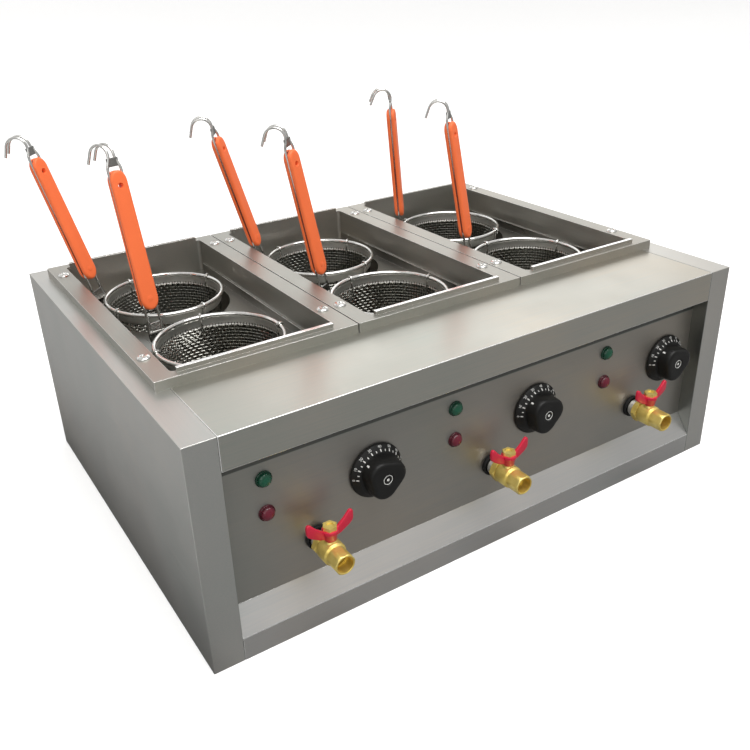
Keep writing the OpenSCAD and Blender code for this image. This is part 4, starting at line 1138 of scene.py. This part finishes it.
def studio_floor():
    """Pale paper. The steel mirrors a greyer floor than the one seen directly, with painted shade in it:
    darkest close to the casing's left side, and paler behind it."""
    s = Shader("pale_floor", Roughness=0.9, Specular_IOR_Level=0.1, Emission_Color=(1, 1, 1, 1))
    seen = s.add("ShaderNodeLightPath").outputs["Is Camera Ray"]
    beside = s.span(s.axis("X"), LEFT_X - 0.16, LEFT_X - 0.01, MIRROR_TONE_FAR - MIRROR_SHADE_NEAR, 0.0)
    mirrored_tone = s.maths("ADD", beside, s.span(s.axis("X"), LEFT_X, LEFT_X + 0.03, MIRROR_SHADE_NEAR, FLOOR_MIRRORED))
    under = s.span(s.axis("X"), LEFT_X, LEFT_X + 0.03, 0.0, 1.0)
    behind = s.span(s.axis("Y"), BEHIND_Y, BEHIND_Y + 0.05, 0.0, MIRROR_LIFT_BEHIND)
    mirrored_tone = s.maths("ADD", mirrored_tone, s.maths("MULTIPLY", under, behind))
    paper = s.maths("MAXIMUM", mirrored_tone, s.span(seen, 0.0, 1.0, 0.0, FLOOR_SEEN))
    s.colours(s.blend(paper, s.noise(2.0, 2.0, 0.5), 0.01), [(0.0, (0, 0, 0)), (1.0, (1, 1, 1))])
    lift = s.span(seen, 0.0, 1.0, 0.0, FLOOR_LIFT)
    glow = s.maths("MAXIMUM", lift, s.span(s.axis("Z"), 0.2, 1.6, 0.0, BACKDROP_GLOW))
    s.join(glow, s.shader.inputs["Emission Strength"])
    return s.material


def soft_light(name, place, aim, size, power, colour=(1, 1, 1)):
    light = bpy.data.lights.new(name, "AREA")
    light.shape = "RECTANGLE"
    light.size, light.size_y = size
    light.energy = power
    light.color = colour
    o = new_object(name, light)
    o.location = place
    o.rotation_euler = (Vector(aim) - Vector(place)).to_track_quat("-Z", "Y").to_euler()


WORLD_LIGHT, WORLD_SEEN = 0.75, 1.0
WORLD_LOW, WORLD_HIGH = (0.55, 0.55, 0.55, 1), (1.0, 0.99, 0.97, 1)


def studio_world():
    """Soft light from all round, brighter from above. Seen directly it is as white as the floor."""
    world = bpy.data.worlds.new("studio")
    bpy.context.scene.world = world
    world.use_nodes = True
    tree = world.node_tree
    add, join = tree.nodes.new, tree.links.new
    back = tree.nodes["Background"]
    direction = add("ShaderNodeTexCoord")
    split = add("ShaderNodeSeparateXYZ")
    ramp = add("ShaderNodeValToRGB")
    seen = add("ShaderNodeLightPath")
    pick = add("ShaderNodeMixRGB")
    join(direction.outputs["Generated"], split.inputs[0])
    join(split.outputs["Z"], ramp.inputs[0])
    join(seen.outputs["Is Camera Ray"], pick.inputs[0])
    join(ramp.outputs[0], pick.inputs[1])
    join(pick.outputs[0], back.inputs["Color"])
    pick.inputs[2].default_value = (*3 * (WORLD_SEEN / WORLD_LIGHT,), 1)
    low, high = ramp.color_ramp.elements
    low.color = WORLD_LOW
    high.color = WORLD_HIGH
    high.position = 0.9
    back.inputs["Strength"].default_value = WORLD_LIGHT


CAMERA_LENS, CAMERA_SHIFT = 40.394, (0.01446, -0.01726)
CAMERA_PLACE = (-0.529319, -0.83392, 0.609794)
CAMERA_BEARING, CAMERA_FALL, CAMERA_TILT = 31.792, 26.213, -1.914


def photo_camera():
    """The camera fitted to the photograph. Its bearing, fall and tilt are in degrees."""
    data = bpy.data.cameras.new("photo_camera")
    data.sensor_width = 36.0
    data.lens = CAMERA_LENS
    data.shift_x, data.shift_y = CAMERA_SHIFT
    data.clip_start = 0.01
    camera = new_object("photo_camera", data)
    bearing, fall, tilt = [radians(a) for a in (CAMERA_BEARING, CAMERA_FALL, CAMERA_TILT)]
    look = Vector((sin(bearing) * cos(fall), cos(bearing) * cos(fall), -sin(fall)))
    level = Vector((cos(bearing), -sin(bearing), 0))
    upright = level.cross(look)
    roll = asin(sin(tilt) / cos(fall))
    right = level * cos(roll) + upright * sin(roll)
    up = right.cross(look)
    rows = [(right[i], up[i], -look[i], CAMERA_PLACE[i]) for i in range(3)]
    camera.matrix_world = Matrix((*rows, (0, 0, 0, 1)))
    bpy.context.scene.camera = camera


sweep_floor()
studio_world()
soft_light("key", (0.2, -0.9, 2.6), (0, 0, 0.2), (2.2, 1.6), 56)
soft_light("fill", (-1.7, -1.9, 1.3), (0.1, 0, 0.25), (1.4, 1.2), 7)
soft_light("back", (2.6, 2.6, 2.0), (0, 0, 0.25), (3.2, 1.6), 11, (1.0, 0.985, 0.96))
photo_camera()
bpy.context.scene.view_settings.view_transform = "Standard"
